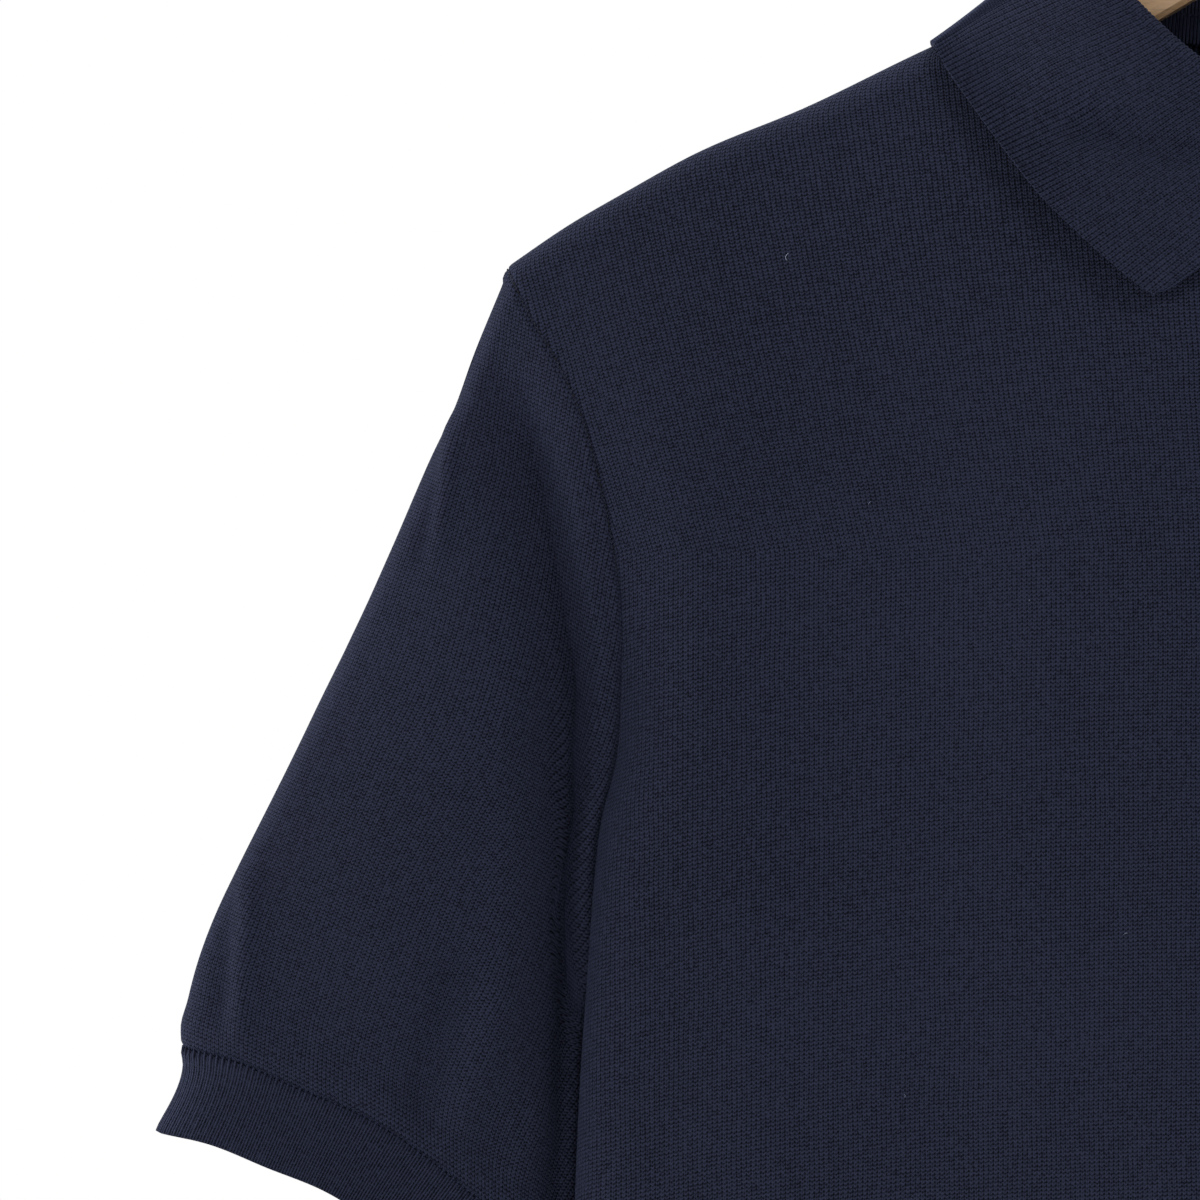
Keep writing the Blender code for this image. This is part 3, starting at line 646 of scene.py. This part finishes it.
# turn goes from the outer fold to the underarm, in front or behind, and run from the armhole to the cuff
def sleevePoint(turn, side, run):
    share = armShare(turn)
    run = np.maximum(run, 0.004 * ease(0.5, 0.8, turn))
    edge = np.ones_like(share)
    onFront, onBack = frontPoint(edge, underarmDown * share), backPoint(edge, underarmDown * share)
    start = np.where((side < 0)[..., None], onFront, onBack)
    end = cuffPoint(share, side, np.zeros_like(share))
    point = start + (end - start) * run[..., None]
    quick = (1 - np.exp(-run / sleeve["spreadRun"])) / (1 - math.exp(-1 / sleeve["spreadRun"]))
    inner = ease(0.6, 1.0, turn)
    point[..., 1] = start[..., 1] + (end - start)[..., 1] * (run + (quick - run) * inner)
    point[..., 1] += side * sleeve["bow"] * np.sin(math.pi * run) * np.sin(math.pi * turn)
    spread = ease(0.35, 0.7, turn) * (1 - 0.75 * ease(0.8, 1.0, turn))
    point[..., 0] += sleeve["spread"] * (quick - run) * spread
    puff = sleeve["puff"] * np.sin(math.pi * run ** sleeve["puffShape"])
    puff -= sleeve["slack"] * ease(0, 0.015, run) * (1 - ease(0.40, 0.58, run))
    puff -= sleeve["dent"] * bell(run - sleeve["dentRun"], 0.05)
    puff *= (1 - share) ** 1.5
    point += puff[..., None] * np.array(sleeve["outward"])
    x, z = point[..., 0], point[..., 2]
    fromFold = x - cutAt("width", z)
    centre = valleyAt("x", z)
    halfWidth = np.where(x > centre, sleeve["valleyOuter"], sleeve["valleyInner"])
    trough = np.exp(-(((x - centre) / halfWidth) ** 2) / 2)
    depth = valleyAt("depth", z) * trough * ease(0, 0.008, fromFold)
    point[..., 1] -= side * depth * ease(0, 0.12, run)
    return point


def ringSpots(count):  # once round, down the front from the outer fold and back up behind
    half = np.linspace(0, 1, count // 2 + 1)
    return np.concatenate([half, half[::-1]]), np.repeat([-1.0, 1.0], len(half))


turnRow, sideRow = ringSpots(sleeve["around"])
runColumn = np.linspace(0, 1, sleeve["rows"] + 1)
runColumn = 0.25 * (1 - np.cos(math.pi * runColumn)) / 2 + 0.75 * runColumn**1.1
turn, run = np.meshgrid(turnRow, runColumn)
side = np.broadcast_to(sideRow, turn.shape)
sleevePoints = sleevePoint(turn, side, run)


# Wales run down the sleeve, and lean over the top to hang like those of the body
def sleeveStitches(points):
    across = points @ np.array(sleeve["outward"])
    total = lengthAcross(across, points[..., 1])
    total[:, sideRow > 0] -= total[:, [-1]]  # counted both ways from the outer fold, to meet under the arm
    down = points @ np.array(sleeve["axis"])
    nearArmhole = ease(0.275, 0.215, points[..., 0]) * ease(-0.345, -0.275, points[..., 2])
    fan = sleeve["waleFan"] * nearArmhole + sleeve["waleLean"]
    fan = fan * np.clip(1 + total / sleeve["fanFade"], 0, 1)  # fades out behind the outer fold
    wale = total - fan * (down - sleeve["fanCentre"])
    course = down - 1.5 * (across - 0.130) ** 2
    return together(sleeve["walesOpen"] * wale, -sleeve["coursesOpen"] * course)


def sleeveRelief(points, turn, side, run):
    x, z = points[..., 0], points[..., 2]
    inside = np.sin(math.pi * np.clip(turn, 0, 1)) ** 0.5
    relief = 0
    for fold in sleeveFolds:
        relief = relief + crease(x, z, *fold)
    relief += 0.0004 * uneven(x, z, 0.05, 4.0 + side)
    relief *= inside
    front = ease(-0.2, 0.6, -side) * inside**0.5 * ease(0, 0.09, turn)
    for fold in sleeveFrontFolds:
        relief += front * crease(x, z, *fold)
    relief *= ease(0.02, 0.2, run) * (1 - ease(0.93, 1.0, run))
    length = np.linalg.norm(points[-1] - points[0], axis=-1)
    fromArmhole, fromCuff = run * length, (1 - run) * length
    relief -= 0.0011 * seamFade(z) * bell(fromArmhole, 0.0009) * (1 + 0.4 * uneven(x, z, 0.022, 7.0))
    relief += 0.0004 * bell(fromArmhole - 0.0022, 0.0011)
    relief -= 0.0010 * bell(fromCuff, 0.0010)
    relief += 0.0008 * bell(fromCuff - 0.006, 0.004)
    return relief


underarm = sleeve["around"] // 2
sleeveNormals = turnedOut(normalsOf(sleevePoints, closed=True), sleeve["rows"] // 2, underarm // 2, -1)
sleeveCloth = sleevePoints + sleeveNormals * sleeveRelief(sleevePoints, turn, side, run)[..., None]
sleeveCloth[:, underarm + 1] = sleeveCloth[:, underarm]  # front and back close on the underarm seam
sleeveKnit = sleeveStitches(sleevePoints)


def ringTurn(t):  # once round a cuff, as turn and side
    return np.where(t <= 0.5, 2 * t, 2 - 2 * t), np.where(t <= 0.5, -1.0, 1.0)


def cuffCurve(t):
    turnAt, sideAt = ringTurn(t)
    return cuffPoint(armShare(turnAt), sideAt, np.full_like(t, 0.5))


t, down, phase, cuffRibs, cuffLength = ribGrid(cuffCurve, cuff)
scallop = -cuff["scallop"] * np.cos(math.tau * phase) * (1 - ease(0, 0.25, down))
cuffTurn, cuffSide = ringTurn(t)
cuffPoints = cuffPoint(armShare(cuffTurn), cuffSide, down + scallop)
cuffNormals = turnedOut(normalsOf(cuffPoints, closed=True), cuff["rows"] // 2, cuffPoints.shape[1] // 4, -1)
ribShow = 1 + 0.35 * bell(down, 0.14)
sunk = 0.0006 * bell(down, 0.03) + 0.0003 * ease(0.9, 1.0, down) - 0.0003 * bell(down - 0.10, 0.05)

for hand, turned in (("left", np.ones(3)), ("right", np.array([-1.0, 1.0, 1.0]))):
    obj = placeCloth(f"sleeveCloth_{hand}", sleeveCloth * turned, sleeveKnit, sleeveNormals * turned,
                     body["wall"], jerseyKnit, jerseyPurl, closed=True)
    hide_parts(f"sleeve_{hand}")
    obj = placeRib(f"cuffCloth_{hand}", cuff, cuffPoints * turned, cuffNormals * turned, phase,
                   down * cuff["height"] * 1000, cuffRib, show=ribShow, sunk=sunk)
    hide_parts(f"cuff_{hand}")
print("sleeves and cuffs made, ribs round a cuff:", cuffRibs)

# Linked seams: a fine chain of yarn that lies in each groove
link = {
    "pitch": 0.0014,
    "perLoop": 6,
    "sides": 6,
    "sway": 0.00030,
    "radius": 0.00018,
    "lift": 0.00006,
    "sideLift": 0.0006,
}


def placeYarn(name, path, up, finish, radius=link["radius"], sway=link["sway"], lift=link["lift"]):
    share, parameter, length = evenly(path, 600)
    loops = max(1, round(length / link["pitch"]))
    even = np.linspace(0, 1, loops * link["perLoop"] + 1)
    at = np.interp(even, share, parameter)
    line, upward = path(at), unit(np.broadcast_to(np.array(up, float), (len(at), 3)))
    sideways = unit(np.cross(unit(np.gradient(line, axis=0)), upward))
    turnAt = math.tau * even * loops
    aside = sway * np.sin(turnAt)
    above = lift + sway * 0.3 * np.cos(2 * turnAt)
    line = line + sideways * aside[:, None] + upward * above[:, None]
    forward = unit(np.gradient(line, axis=0))
    sideways = unit(np.cross(forward, upward))
    around = np.linspace(0, math.tau, link["sides"] + 1)
    thick = radius * np.clip(np.minimum(even, 1 - even) * loops * 2, 0, 1)[:, None, None]
    cosine, sine = np.cos(around)[:, None], np.sin(around)[:, None]
    ring = sideways[:, None] * cosine + np.cross(forward, sideways)[:, None] * sine
    stitches = together(around[None] * 0.1, (even * length * 1000)[:, None])
    obj = placeCloth(name, line[:, None] + ring * thick, stitches, None, 0, finish, finish, closed=True)


def armholeLine(side):
    point = frontPoint if side < 0 else backPoint
    return lambda t: point(np.ones_like(t), underarmDown * t**1.6)


def sideLine(t):
    return frontPoint(np.ones_like(t), underarmDown + (1 - underarmDown) * t)


# Two-ply cotton: the same matt navy, with the plies' twist as dark and light flecks a millimetre apart
yarn = twoTone("Navy linking yarn", "TexNoise", {"Scale": 900.0, "Detail": 2.0}, ("#090b12", "#2b3146"),
               {"Roughness": 0.9}, stops=(0.35, 0.70))
for hand, word in ((1, "left"), (-1, "right")):
    turned = np.array([hand, 1.0, 1.0])
    for side, where in ((-1, "front"), (1, "back")):
        line, up = armholeLine(side), (0.45 * hand, side * 0.9, 0.0)
        placeYarn(f"armholeLinking_{where}_{word}", lambda t: line(t) * turned, up, yarn)
    placeYarn(f"sideLinking_{word}", lambda t: sideLine(t) * turned, (hand, 0.0, 0.0), yarn,
              lift=link["sideLift"])
print("seams linked")

# Lint: a few loose fibres of undyed cotton, pale and matt against the navy
lint = twoTone("Loose cotton fibre", "TexNoise", {"Scale": 700.0}, ("#5b6480", "#aab2c8"), {"Roughness": 0.9})
lintFibre = {
    "spots": [(0.150, -0.170), (0.086, -0.262), (0.172, -0.300), (0.060, -0.352), (0.128, -0.236),
              (0.120, -0.395), (0.012, -0.480), (-0.070, -0.300), (-0.130, -0.560), (0.095, -0.600)],
    "lift": 0.0011,
    "radius": 0.00006,
    "sway": 0.00005,
}
for number, (x, z) in enumerate(lintFibre["spots"], 1):
    curl = 1.5 + 1.2 * math.sin(number * 2.3)
    reach = 0.0008 + 0.0004 * math.sin(number * 1.7)
    heading = number * 1.9

    def strand(t):
        angle = heading + curl * t
        aside = -x + reach * np.cos(angle) * (0.4 + t)
        height = z + reach * np.sin(angle) * (0.4 + t)
        depth = bodyDepth(aside, height, body["frontFall"]) + lintFibre["lift"]
        return together(aside, -depth, height)

    placeYarn(f"lintFibre_{number}", strand, (0.0, -1.0, 0.0), lint,
              lintFibre["radius"], lintFibre["sway"], 0.0)
print("lint laid on")

hem = {
    "pitch": 0.00160,
    "perRib": 5,
    "rows": 11,
    "ribDepth": 0.00032,
    "scallop": 0.0004,
    "wave": 0.0012,
    "sway": 0.0030,
    "sunk": 0.0009,
    "wall": 0.0017,
}

for name, node, section, side in (("hemCloth_front", "hem_front", frontSection, -1),
                                  ("hemCloth_back", "hem_back", backSection, 1)):
    level = body["hemTop"] - 0.03

    def hemCurve(t):
        column = 2 * t - 1
        x, y = section(np.abs(column), np.full_like(t, level))
        return together(x * np.sign(column), y, np.zeros_like(t))

    t, down, phase, ribs, hemLength = ribGrid(hemCurve, hem)
    column = 2 * t - 1
    height = body["hemTop"] + (body["hemBottom"] - body["hemTop"]) * down
    height = height + hem["scallop"] * np.cos(math.tau * phase) * (1 - ease(0, 0.1, down))
    wave = hem["wave"] * uneven(column, 0 * column, 0.9, 3.0 + side)
    height = height + wave * down * (1 - np.abs(column) ** 4)
    x, y = section(np.abs(column), height)
    points = together(x * np.sign(column), y, height)
    normals = turnedOut(normalsOf(points), 7, points.shape[1] // 2, side)
    sway = uneven(points[..., 0], 0.3 * points[..., 2], 0.075, 7.0 + side) * ease(0, 0.4, down)
    sway = sway * (1 - ease(0.9, 1, np.abs(column)))
    points = points + normals * hem["sway"] * sway[..., None]
    hemMm = 1000 * (body["hemTop"] - body["hemBottom"])
    obj = placeRib(name, hem, points, normals, phase, down * hemMm, cuffRib,
                   sunk=hem["sunk"] * bell(down, 0.03), ends=ease(0, 0.004, 1 - np.abs(column)))
    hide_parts(node)
print("hem made, ribs across the back:", ribs)

# Sixteen stations from the front opening to the middle of the back
collarCut = {
    "row": list(np.linspace(0, 1, 16)),
    "rollX": [0.0002, 0.0110, 0.0230, 0.0364, 0.0486, 0.0595, 0.0663, 0.0704,
              0.0716, 0.0720, 0.0716, 0.0705, 0.0655, 0.0550, 0.0330, 0.0000],
    "rollY": [-0.0290, -0.0288, -0.0280, -0.0262, -0.0230, -0.0180, -0.0125, -0.0062,
              -0.0032, 0.0000, 0.0032, 0.0060, 0.0120, 0.0178, 0.0236, 0.0250],
    "rollZ": [-0.1455, -0.1386, -0.1306, -0.1215, -0.1114, -0.1001, -0.0919, -0.0860,
              -0.0834, -0.0826, -0.0822, -0.0817, -0.0806, -0.0794, -0.0784, -0.0780],
    "edgeX": [0.0518, 0.0548, 0.0612, 0.0716, 0.0840, 0.0952, 0.1028, 0.1084,
              0.1102, 0.1111, 0.1100, 0.1064, 0.0975, 0.0800, 0.0450, 0.0000],
    "edgeZ": [-0.1814, -0.1800, -0.1752, -0.1660, -0.1535, -0.1386, -0.1276, -0.1190,
              -0.1145, -0.1124, -0.1142, -0.1192, -0.1240, -0.1268, -0.1284, -0.1290],
}
collar = {
    "pitch": 0.00145,
    "perRib": 5,
    "rollRadius": 0.0026,
    "rollTurn": 70,
    "rollShare": 0.2,
    "leafShare": 0.6,
    "leafMm": 45,
    "clear": 0.0050,
    "tipRound": 0.0034,
    "standLift": 0.0016,
    "bow": 0.0014,
    "ribDepth": 0.00024,
    "wall": 0.0016,
}
collarFolds = [  # start and end as x and height, half width and rise
    ((0.082, -0.1330), (0.034, -0.1460), 0.0032, -0.0044),
    ((0.090, -0.1200), (0.040, -0.1330), 0.0050, 0.0015),
]
collarAt = partial(along, collarCut, "row")


def rollCurve(t):
    return together(*[collarAt(key, t) for key in ("rollX", "rollY", "rollZ")])


def frontOrBack(t):  # -1 in front, 1 behind, and between over the shoulder
    return np.clip((t - 0.6) / 0.04, -1, 1)


def edgeCurve(t):
    x, z = collarAt("edgeX", t), collarAt("edgeZ", t)
    facing = frontOrBack(t)
    clear = collar["clear"] * (0.75 + 0.45 * (ease(0, 0.15, t) - ease(0.3, 0.55, t)))
    return together(x, facing * bodyDepth(x, z, either(facing, "Fall"), clear), z)


def neckCurve(t):  # the stand is linked on behind the front, and reaches a little down inside the back
    x = collarAt("rollX", t) * body["neckX"] / max(collarCut["rollX"])
    facing = frontOrBack(t)
    behind = ease(0.02, 0.10, t - 0.6)
    z = neckline(x, either(facing, "Neck"))
    depth = bodyDepth(x, z, either(facing, "Fall"))
    return together(x, facing * depth - 0.0022 * behind, z + collar["standLift"] - 0.010 * behind)


def onLeaf(step):  # share of the way down the leaf, after the stand and the roll
    return max(0, step - 2 * collar["rollShare"]) / collar["leafShare"]


def collarSurface(t, step):  # up the stand, over the roll and down the leaf
    neck, roll, edge = neckCurve(t), rollCurve(t), edgeCurve(t)
    downStand = unit(neck - roll)
    downLeaf = unit(edge - roll)
    inner = unit(downStand + downLeaf)
    outward = unit(downLeaf - downStand)
    radius, rollTurn, stand = collar["rollRadius"], collar["rollTurn"], collar["rollShare"]
    centre = roll + inner * radius
    angle = math.radians(np.clip(-rollTurn + 2 * rollTurn * (step - stand) / stand, -rollTurn, rollTurn))
    onRoll = centre + (outward * math.sin(angle) - inner * math.cos(angle)) * radius
    if step < stand:
        return neck + (onRoll - neck) * step / stand
    return onRoll + (edge - onRoll) * onLeaf(step)


rollShare, rollParameter, _ = evenly(rollCurve)
edgeShare, edgeParameter, edgeLength = evenly(edgeCurve)
collarRibs = 2 * round(edgeLength / collar["pitch"])
u = np.linspace(0, 1, collarRibs * collar["perRib"] + 1)
fromFront = 1 - np.abs(2 * u - 1)
handRow = np.where(u <= 0.5, -1.0, 1.0)
rollAhead = 0.02 * ease(0, 0.12, fromFront) + 0.036 * ease(0.15, 0.42, fromFront)
rollAhead *= 1 - ease(0.5, 1, fromFront)  # the ribs run up and back
atRoll = np.interp(fromFront + rollAhead, rollShare, rollParameter)
atEdge = np.interp(fromFront, edgeShare, edgeParameter)
across = np.concatenate([np.linspace(0, 0.2, 4)[:-1], np.linspace(0.2, 0.4, 7)[:-1],
                         np.linspace(0.4, 0.93, 11), [0.955, 0.97, 0.98, 0.988, 0.995, 1.0]])
collarPoints = np.array([collarSurface(atRoll + (atEdge - atRoll) * onLeaf(step), step) for step in across])
collarPoints[..., 0] *= handRow
phase = np.broadcast_to(u * collarRibs, collarPoints.shape[:2])
leaf = np.broadcast_to(np.clip((across[:, None] - 0.4) / 0.6, 0, 1), phase.shape)
alongTip = np.clip(1 - fromFront * edgeLength / collar["tipRound"], 0, 1)
downTip = np.clip(1 - (1 - leaf) * 0.045 / collar["tipRound"], 0, 1)
for end, step in ((0, 1), (-1, -1)):  # the tip of each leaf is rounded
    corner = collarPoints[-1, end]
    alongEdge = unit(collarPoints[-1, end + 40 * step] - corner)
    upFront = unit(collarPoints[-8, end] - corner)
    tip = np.where(handRow == -step, 1, 0) * collar["tipRound"]
    inAlong = alongTip * (1 - np.sqrt(1 - downTip**2 / 2)) * tip
    inUp = downTip * (1 - np.sqrt(1 - alongTip**2 / 2)) * tip
    collarPoints = collarPoints + inAlong[..., None] * alongEdge + inUp[..., None] * upFront
collarNormals = turnedOut(normalsOf(collarPoints), -4, collarPoints.shape[1] // 2, 1)
ripple = np.zeros_like(phase)
for hand in (-1, 1):
    for fold in collarFolds:
        ripple = ripple + crease(hand * collarPoints[..., 0], collarPoints[..., 2], *fold)
bow = collar["bow"] * np.sin(math.pi * leaf) * (1 - 1.35 * bell(fromFront - 0.48, 0.15))
collarSpread = collarPoints + collarNormals * (ripple * np.sin(math.pi * leaf) + bow)[..., None]
edgeMm = (1 - leaf) * collar["leafMm"]
rollMm = leaf * collar["leafMm"]
alongLeaf = 0.15 + 0.85 * ease(0.12, 0.26, fromFront)
ribShow = 0.18 + 1.7 * np.exp(-edgeMm / 8) * alongLeaf + 0.6 * np.exp(-rollMm / 5)
leafSteps = np.linalg.norm(np.diff(collarPoints[:, 0], axis=0), axis=1)
leafMm = 1000 * np.cumsum(np.concatenate([[0], leafSteps]))[:, None]
obj = placeRib("collarCloth", collar, collarSpread, collarNormals, phase, leafMm, collarRib,
               show=ribShow, ends=ease(0, 0.008, fromFront))
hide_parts("collar")
print("collar made, ribs:", collarRibs)

placket = {
    "halfWidth": 0.015,
    "topDown": 0.0012,
    "bottomDown": 0.2352,
    "wall": 0.0016,
    "lift": 0.0024,
    "stitchDip": 0.0005,
    "edgeDip": 0.0006,
}

for name, node, shift in (("placketBand_upper", "placket_upper", -1),
                          ("placketBand_under", "placket_under", 1)):
    half = body["flatShare"] * placket["halfWidth"] / body["flatWidth"]
    downRow = np.linspace(placket["topDown"], placket["bottomDown"], 90)
    column, down = np.meshgrid(np.linspace(-half, half, 41), downRow)
    points = frontPoint(column, down)
    normals = turnedOut(normalsOf(points), 45, 20, -1)
    edge = np.abs(column) / half
    relief = -shift * placket["lift"] - placket["stitchDip"] * bell(edge - 0.86, 0.035)
    relief = relief - placket["edgeDip"] * ease(0.93, 1.0, edge)
    cloth = points + normals * relief[..., None]
    obj = placeCloth(name, cloth, panelStitches(points), normals, placket["wall"], jerseyKnit, jerseyPurl)
    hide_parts(node)
print("placket made")

button = {
    "radius": 0.00575,
    "thick": 0.0026,
    "segments": 48,
    "hole": 0.0008,
    "holeOffset": 0.0013,
    "profile": [(0.0, 0.02), (0.50, 0.02), (0.60, 0.06), (0.68, 0.30), (0.76, 0.45), (0.86, 0.50),
                (0.95, 0.44), (1.0, 0.22), (0.99, 0.0), (0.93, -0.26), (0.80, -0.44), (0.60, -0.50),
                (0.0, -0.50)],
    "stitch": (0.0022, 0.00030, 0.00026),
    "strandGap": 0.00022,
}
# Dark polyester, turned and polished: a clear, slightly soft gloss over a faint swirl
polyester = twoTone("Polished navy polyester", "TexNoise", {"Scale": 380.0, "Detail": 3.0, "Distortion": 1.5},
                    ("#11131c", "#242838"), {"Roughness": 0.28, "Coat Weight": 0.3})
# Spun polyester thread: a low shine, with its twist as fine bands
thread = twoTone("Navy sewing thread", "TexWave", {"Scale": 900.0, "Distortion": 2.0},
                 ("#14161f", "#2c3044"), {"Roughness": 0.7})

for number in (1, 2, 3):
    node = f"button_{number}"
    low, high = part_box(node)
    centre = (low + high) / 2
    bm = bmesh.new()
    verts = [bm.verts.new((a * button["radius"], 0, b * button["thick"])) for a, b in button["profile"]]
    for a, b in zip(verts, verts[1:]):
        bm.edges.new((a, b))
    bmesh.ops.spin(bm, geom=bm.verts[:] + bm.edges[:], cent=(0, 0, 0), axis=(0, 0, 1), angle=math.tau,
                   steps=button["segments"], use_merge=True)
    bmesh.ops.remove_doubles(bm, verts=bm.verts, dist=mergeGap)
    bmesh.ops.recalc_face_normals(bm, faces=bm.faces)
    disc = meshObject(f"buttonDisc_{number}", bm, polyester)
    bm = bmesh.new()
    for x in (-1, 1):
        for y in (-1, 1):
            made = bmesh.ops.create_cone(bm, cap_ends=True, segments=20, radius1=button["hole"],
                                         radius2=button["hole"], depth=0.01)
            aside = (x * button["holeOffset"], y * button["holeOffset"], 0)
            bmesh.ops.translate(bm, verts=made["verts"], vec=aside)
    drill = meshObject("drill", bm, polyester)
    cut = disc.modifiers.new("Holes", "BOOLEAN")
    cut.operation = "DIFFERENCE"
    cut.object = drill
    bpy.context.view_layer.update()
    drilled = bpy.data.meshes.new_from_object(disc.evaluated_get(bpy.context.evaluated_depsgraph_get()))
    disc.modifiers.clear()
    disc.data = drilled
    bpy.data.objects.remove(drill)
    bm = bmesh.new()
    bm.from_mesh(disc.data)
    bmesh.ops.rotate(bm, verts=bm.verts, cent=(0, 0, 0), matrix=Matrix.Rotation(math.radians(90), 3, "X"))
    bmesh.ops.translate(bm, verts=bm.verts, vec=centre)
    bm.to_mesh(disc.data)
    bm.free()
    disc.data.shade_smooth()
    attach(disc, "root")
    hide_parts(node)
    bm = bmesh.new()
    long, deep, high = button["stitch"]
    for tilt in (-1, 1):  # two stitches cross between the four holes, each of two strands
        for strand in (-button["strandGap"], button["strandGap"]):
            made = bmesh.ops.create_uvsphere(bm, u_segments=10, v_segments=8, radius=1.0)
            for vert in made["verts"]:
                vert.co = Vector((vert.co.x * long, vert.co.y * deep - 0.0001, vert.co.z * high))
                vert.co.z += strand
            spin = Matrix.Rotation(math.radians(45 * tilt), 3, "Y")
            bmesh.ops.rotate(bm, verts=made["verts"], cent=(0, 0, 0), matrix=spin)
    bmesh.ops.translate(bm, verts=bm.verts, vec=centre + Vector((0, -0.0004, 0)))
    stitching = meshObject(f"buttonThread_{number}", bm, thread)
    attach(stitching, "root")
print("buttons made")

# Steamed beech under a thin satin lacquer: pale, with short dark flecks along the grain, and painted shade on
# the faces that turn downward.
# The grain is 4 mm wide and 40 mm long, and a fleck 0.7 mm by 6 mm.
wood = {
    "dark": "#b98f66",
    "light": "#dcbb94",
    "grainScale": (24.0, 240.0, 360.0),
    "fleckScale": (180.0, 1400.0, 1400.0),
    "fleck": 0.72,
    # painted shade on the faces that turn downward
    "below": 0.28,
    "sockets": {"Roughness": 0.42, "Coat Weight": 0.25, "Coat Roughness": 0.3},
}
beech, tree, shader = newMaterial("Lacquered beech", wood["sockets"])
place = addNode(tree, "TexCoord", {}, output="Object")
drawn = addNode(tree, "Mapping", {"Vector": place, "Scale": wood["grainScale"]})
grain = addNode(tree, "TexNoise", {"Vector": drawn, "Scale": 1.0, "Detail": 6.0, "Roughness": 0.6})
ramp = addNode(tree, "ValToRGB", [grain])
paintStops(ramp, (0.30, fromHex(wood["dark"])), (0.75, fromHex(wood["light"])))
drawn = addNode(tree, "Mapping", {"Vector": place, "Scale": wood["fleckScale"]})
fleck = addNode(tree, "TexNoise", {"Vector": drawn, "Scale": 1.0, "Detail": 2.0})
flecks = addNode(tree, "ValToRGB", [fleck])
paintStops(flecks, (0.30, (wood["fleck"], wood["fleck"], wood["fleck"], 1)), (0.42, (1, 1, 1, 1)))
# Painted shade: faces turned downward are darkened, standing in for the shade under the hanger's edge
facing = addNode(tree, "SeparateXYZ", [addNode(tree, "NewGeometry", {}, output="Normal")], output=2)
paintedShadeUnder = addNode(tree, "MapRange", [facing, -0.74, -0.58, wood["below"], 1.0])
fleckedAndShaded = ramp
for darker in (flecks, paintedShadeUnder):
    fleckedAndShaded = addNode(tree, "Mix", {0: 1.0, 6: fleckedAndShaded, 7: darker}, output=2,
                      data_type="RGBA", blend_type="MULTIPLY")
bump = addNode(tree, "Bump", {"Height": grain, "Strength": 0.2, "Distance": 0.0002})
tree.links.new(fleckedAndShaded, shader.inputs["Base Color"])
tree.links.new(bump, shader.inputs["Normal"])

# Nickel-plated wire: bright and smooth, with a faint cloud in the plating
steel = twoTone("Nickel-plated steel wire", "TexNoise", {"Scale": 500.0, "Detail": 3.0},
                ("#b9b8b2", "#d3d2cd"), {"Metallic": 1.0, "Roughness": 0.24})

for node, finish in (("hanger", beech), ("hook", steel)):
    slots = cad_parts[node].data.materials
    slots.clear()
    slots.append(finish)
print("hanger and hook finished")

studio = {
    "floor": -0.80,
    "softboxes": {  # where it stands, what it aims at, its width and its watts
        "Key softbox": ((1.4, -2.1, 2.4), (-0.1, 0, -0.35), 1.3, 39),
        "Fill softbox": ((-2.2, -1.8, 0.6), (0, 0, -0.35), 1.6, 13),
        "Edge softbox": ((-2.4, 0.4, 0.8), (-0.2, 0, -0.30), 1.2, 36),
        "Back softbox": ((0.6, 2.4, 1.6), (0, 0, -0.35), 1.6, 22),
    },
    "glow": (0.36, 1.0),
    "distance": 2.6,
    "aim": (-0.201, -0.2624),
    "frameWidth": 0.324,
}
bm = bmesh.new()
bmesh.ops.create_grid(bm, x_segments=1, y_segments=1, size=6.0)
bmesh.ops.translate(bm, verts=bm.verts, vec=(0, 0, studio["floor"]))
# Flat emulsion: even and almost white
floorPaint, _, _ = newMaterial("Pale studio floor", {"Base Color": fromHex("#f4f4f4"), "Roughness": 0.8})
meshObject("studioFloor", bm, floorPaint)

# White paper behind, dimmer toward the front, so that the softboxes model the folds
world = bpy.context.scene.world = bpy.data.worlds.new("Studio")
world.use_nodes = True
tree = world.node_tree
toward = addNode(tree, "SeparateXYZ", [addNode(tree, "TexCoord", {})], output=1)
front, behind = studio["glow"]
glow = addNode(tree, "MapRange", [toward, -0.35, 0.05, front, behind], interpolation_type="SMOOTHSTEP")
tree.links.new(glow, tree.nodes["Background"].inputs["Strength"])
tree.nodes["Background"].inputs["Color"].default_value = (1.0, 1.0, 1.0, 1.0)

for name, (at, aim, size, power) in studio["softboxes"].items():
    light = bpy.data.lights.new(name, "AREA")
    light.shape = "DISK"
    light.size = size
    light.energy = power
    obj = newObject(name, light)
    obj.location = at
    obj.rotation_euler = (Vector(aim) - Vector(at)).to_track_quat("-Z", "Y").to_euler()

camera = bpy.context.scene.camera = newObject("Camera", bpy.data.cameras.new("Camera"))
camera.data.sensor_width = 36
camera.data.lens = 36 * studio["distance"] / studio["frameWidth"]
camera.location = (studio["aim"][0], -studio["distance"], studio["aim"][1])
camera.rotation_euler = (math.radians(90), 0, 0)
bpy.context.scene.view_settings.view_transform = "Standard"
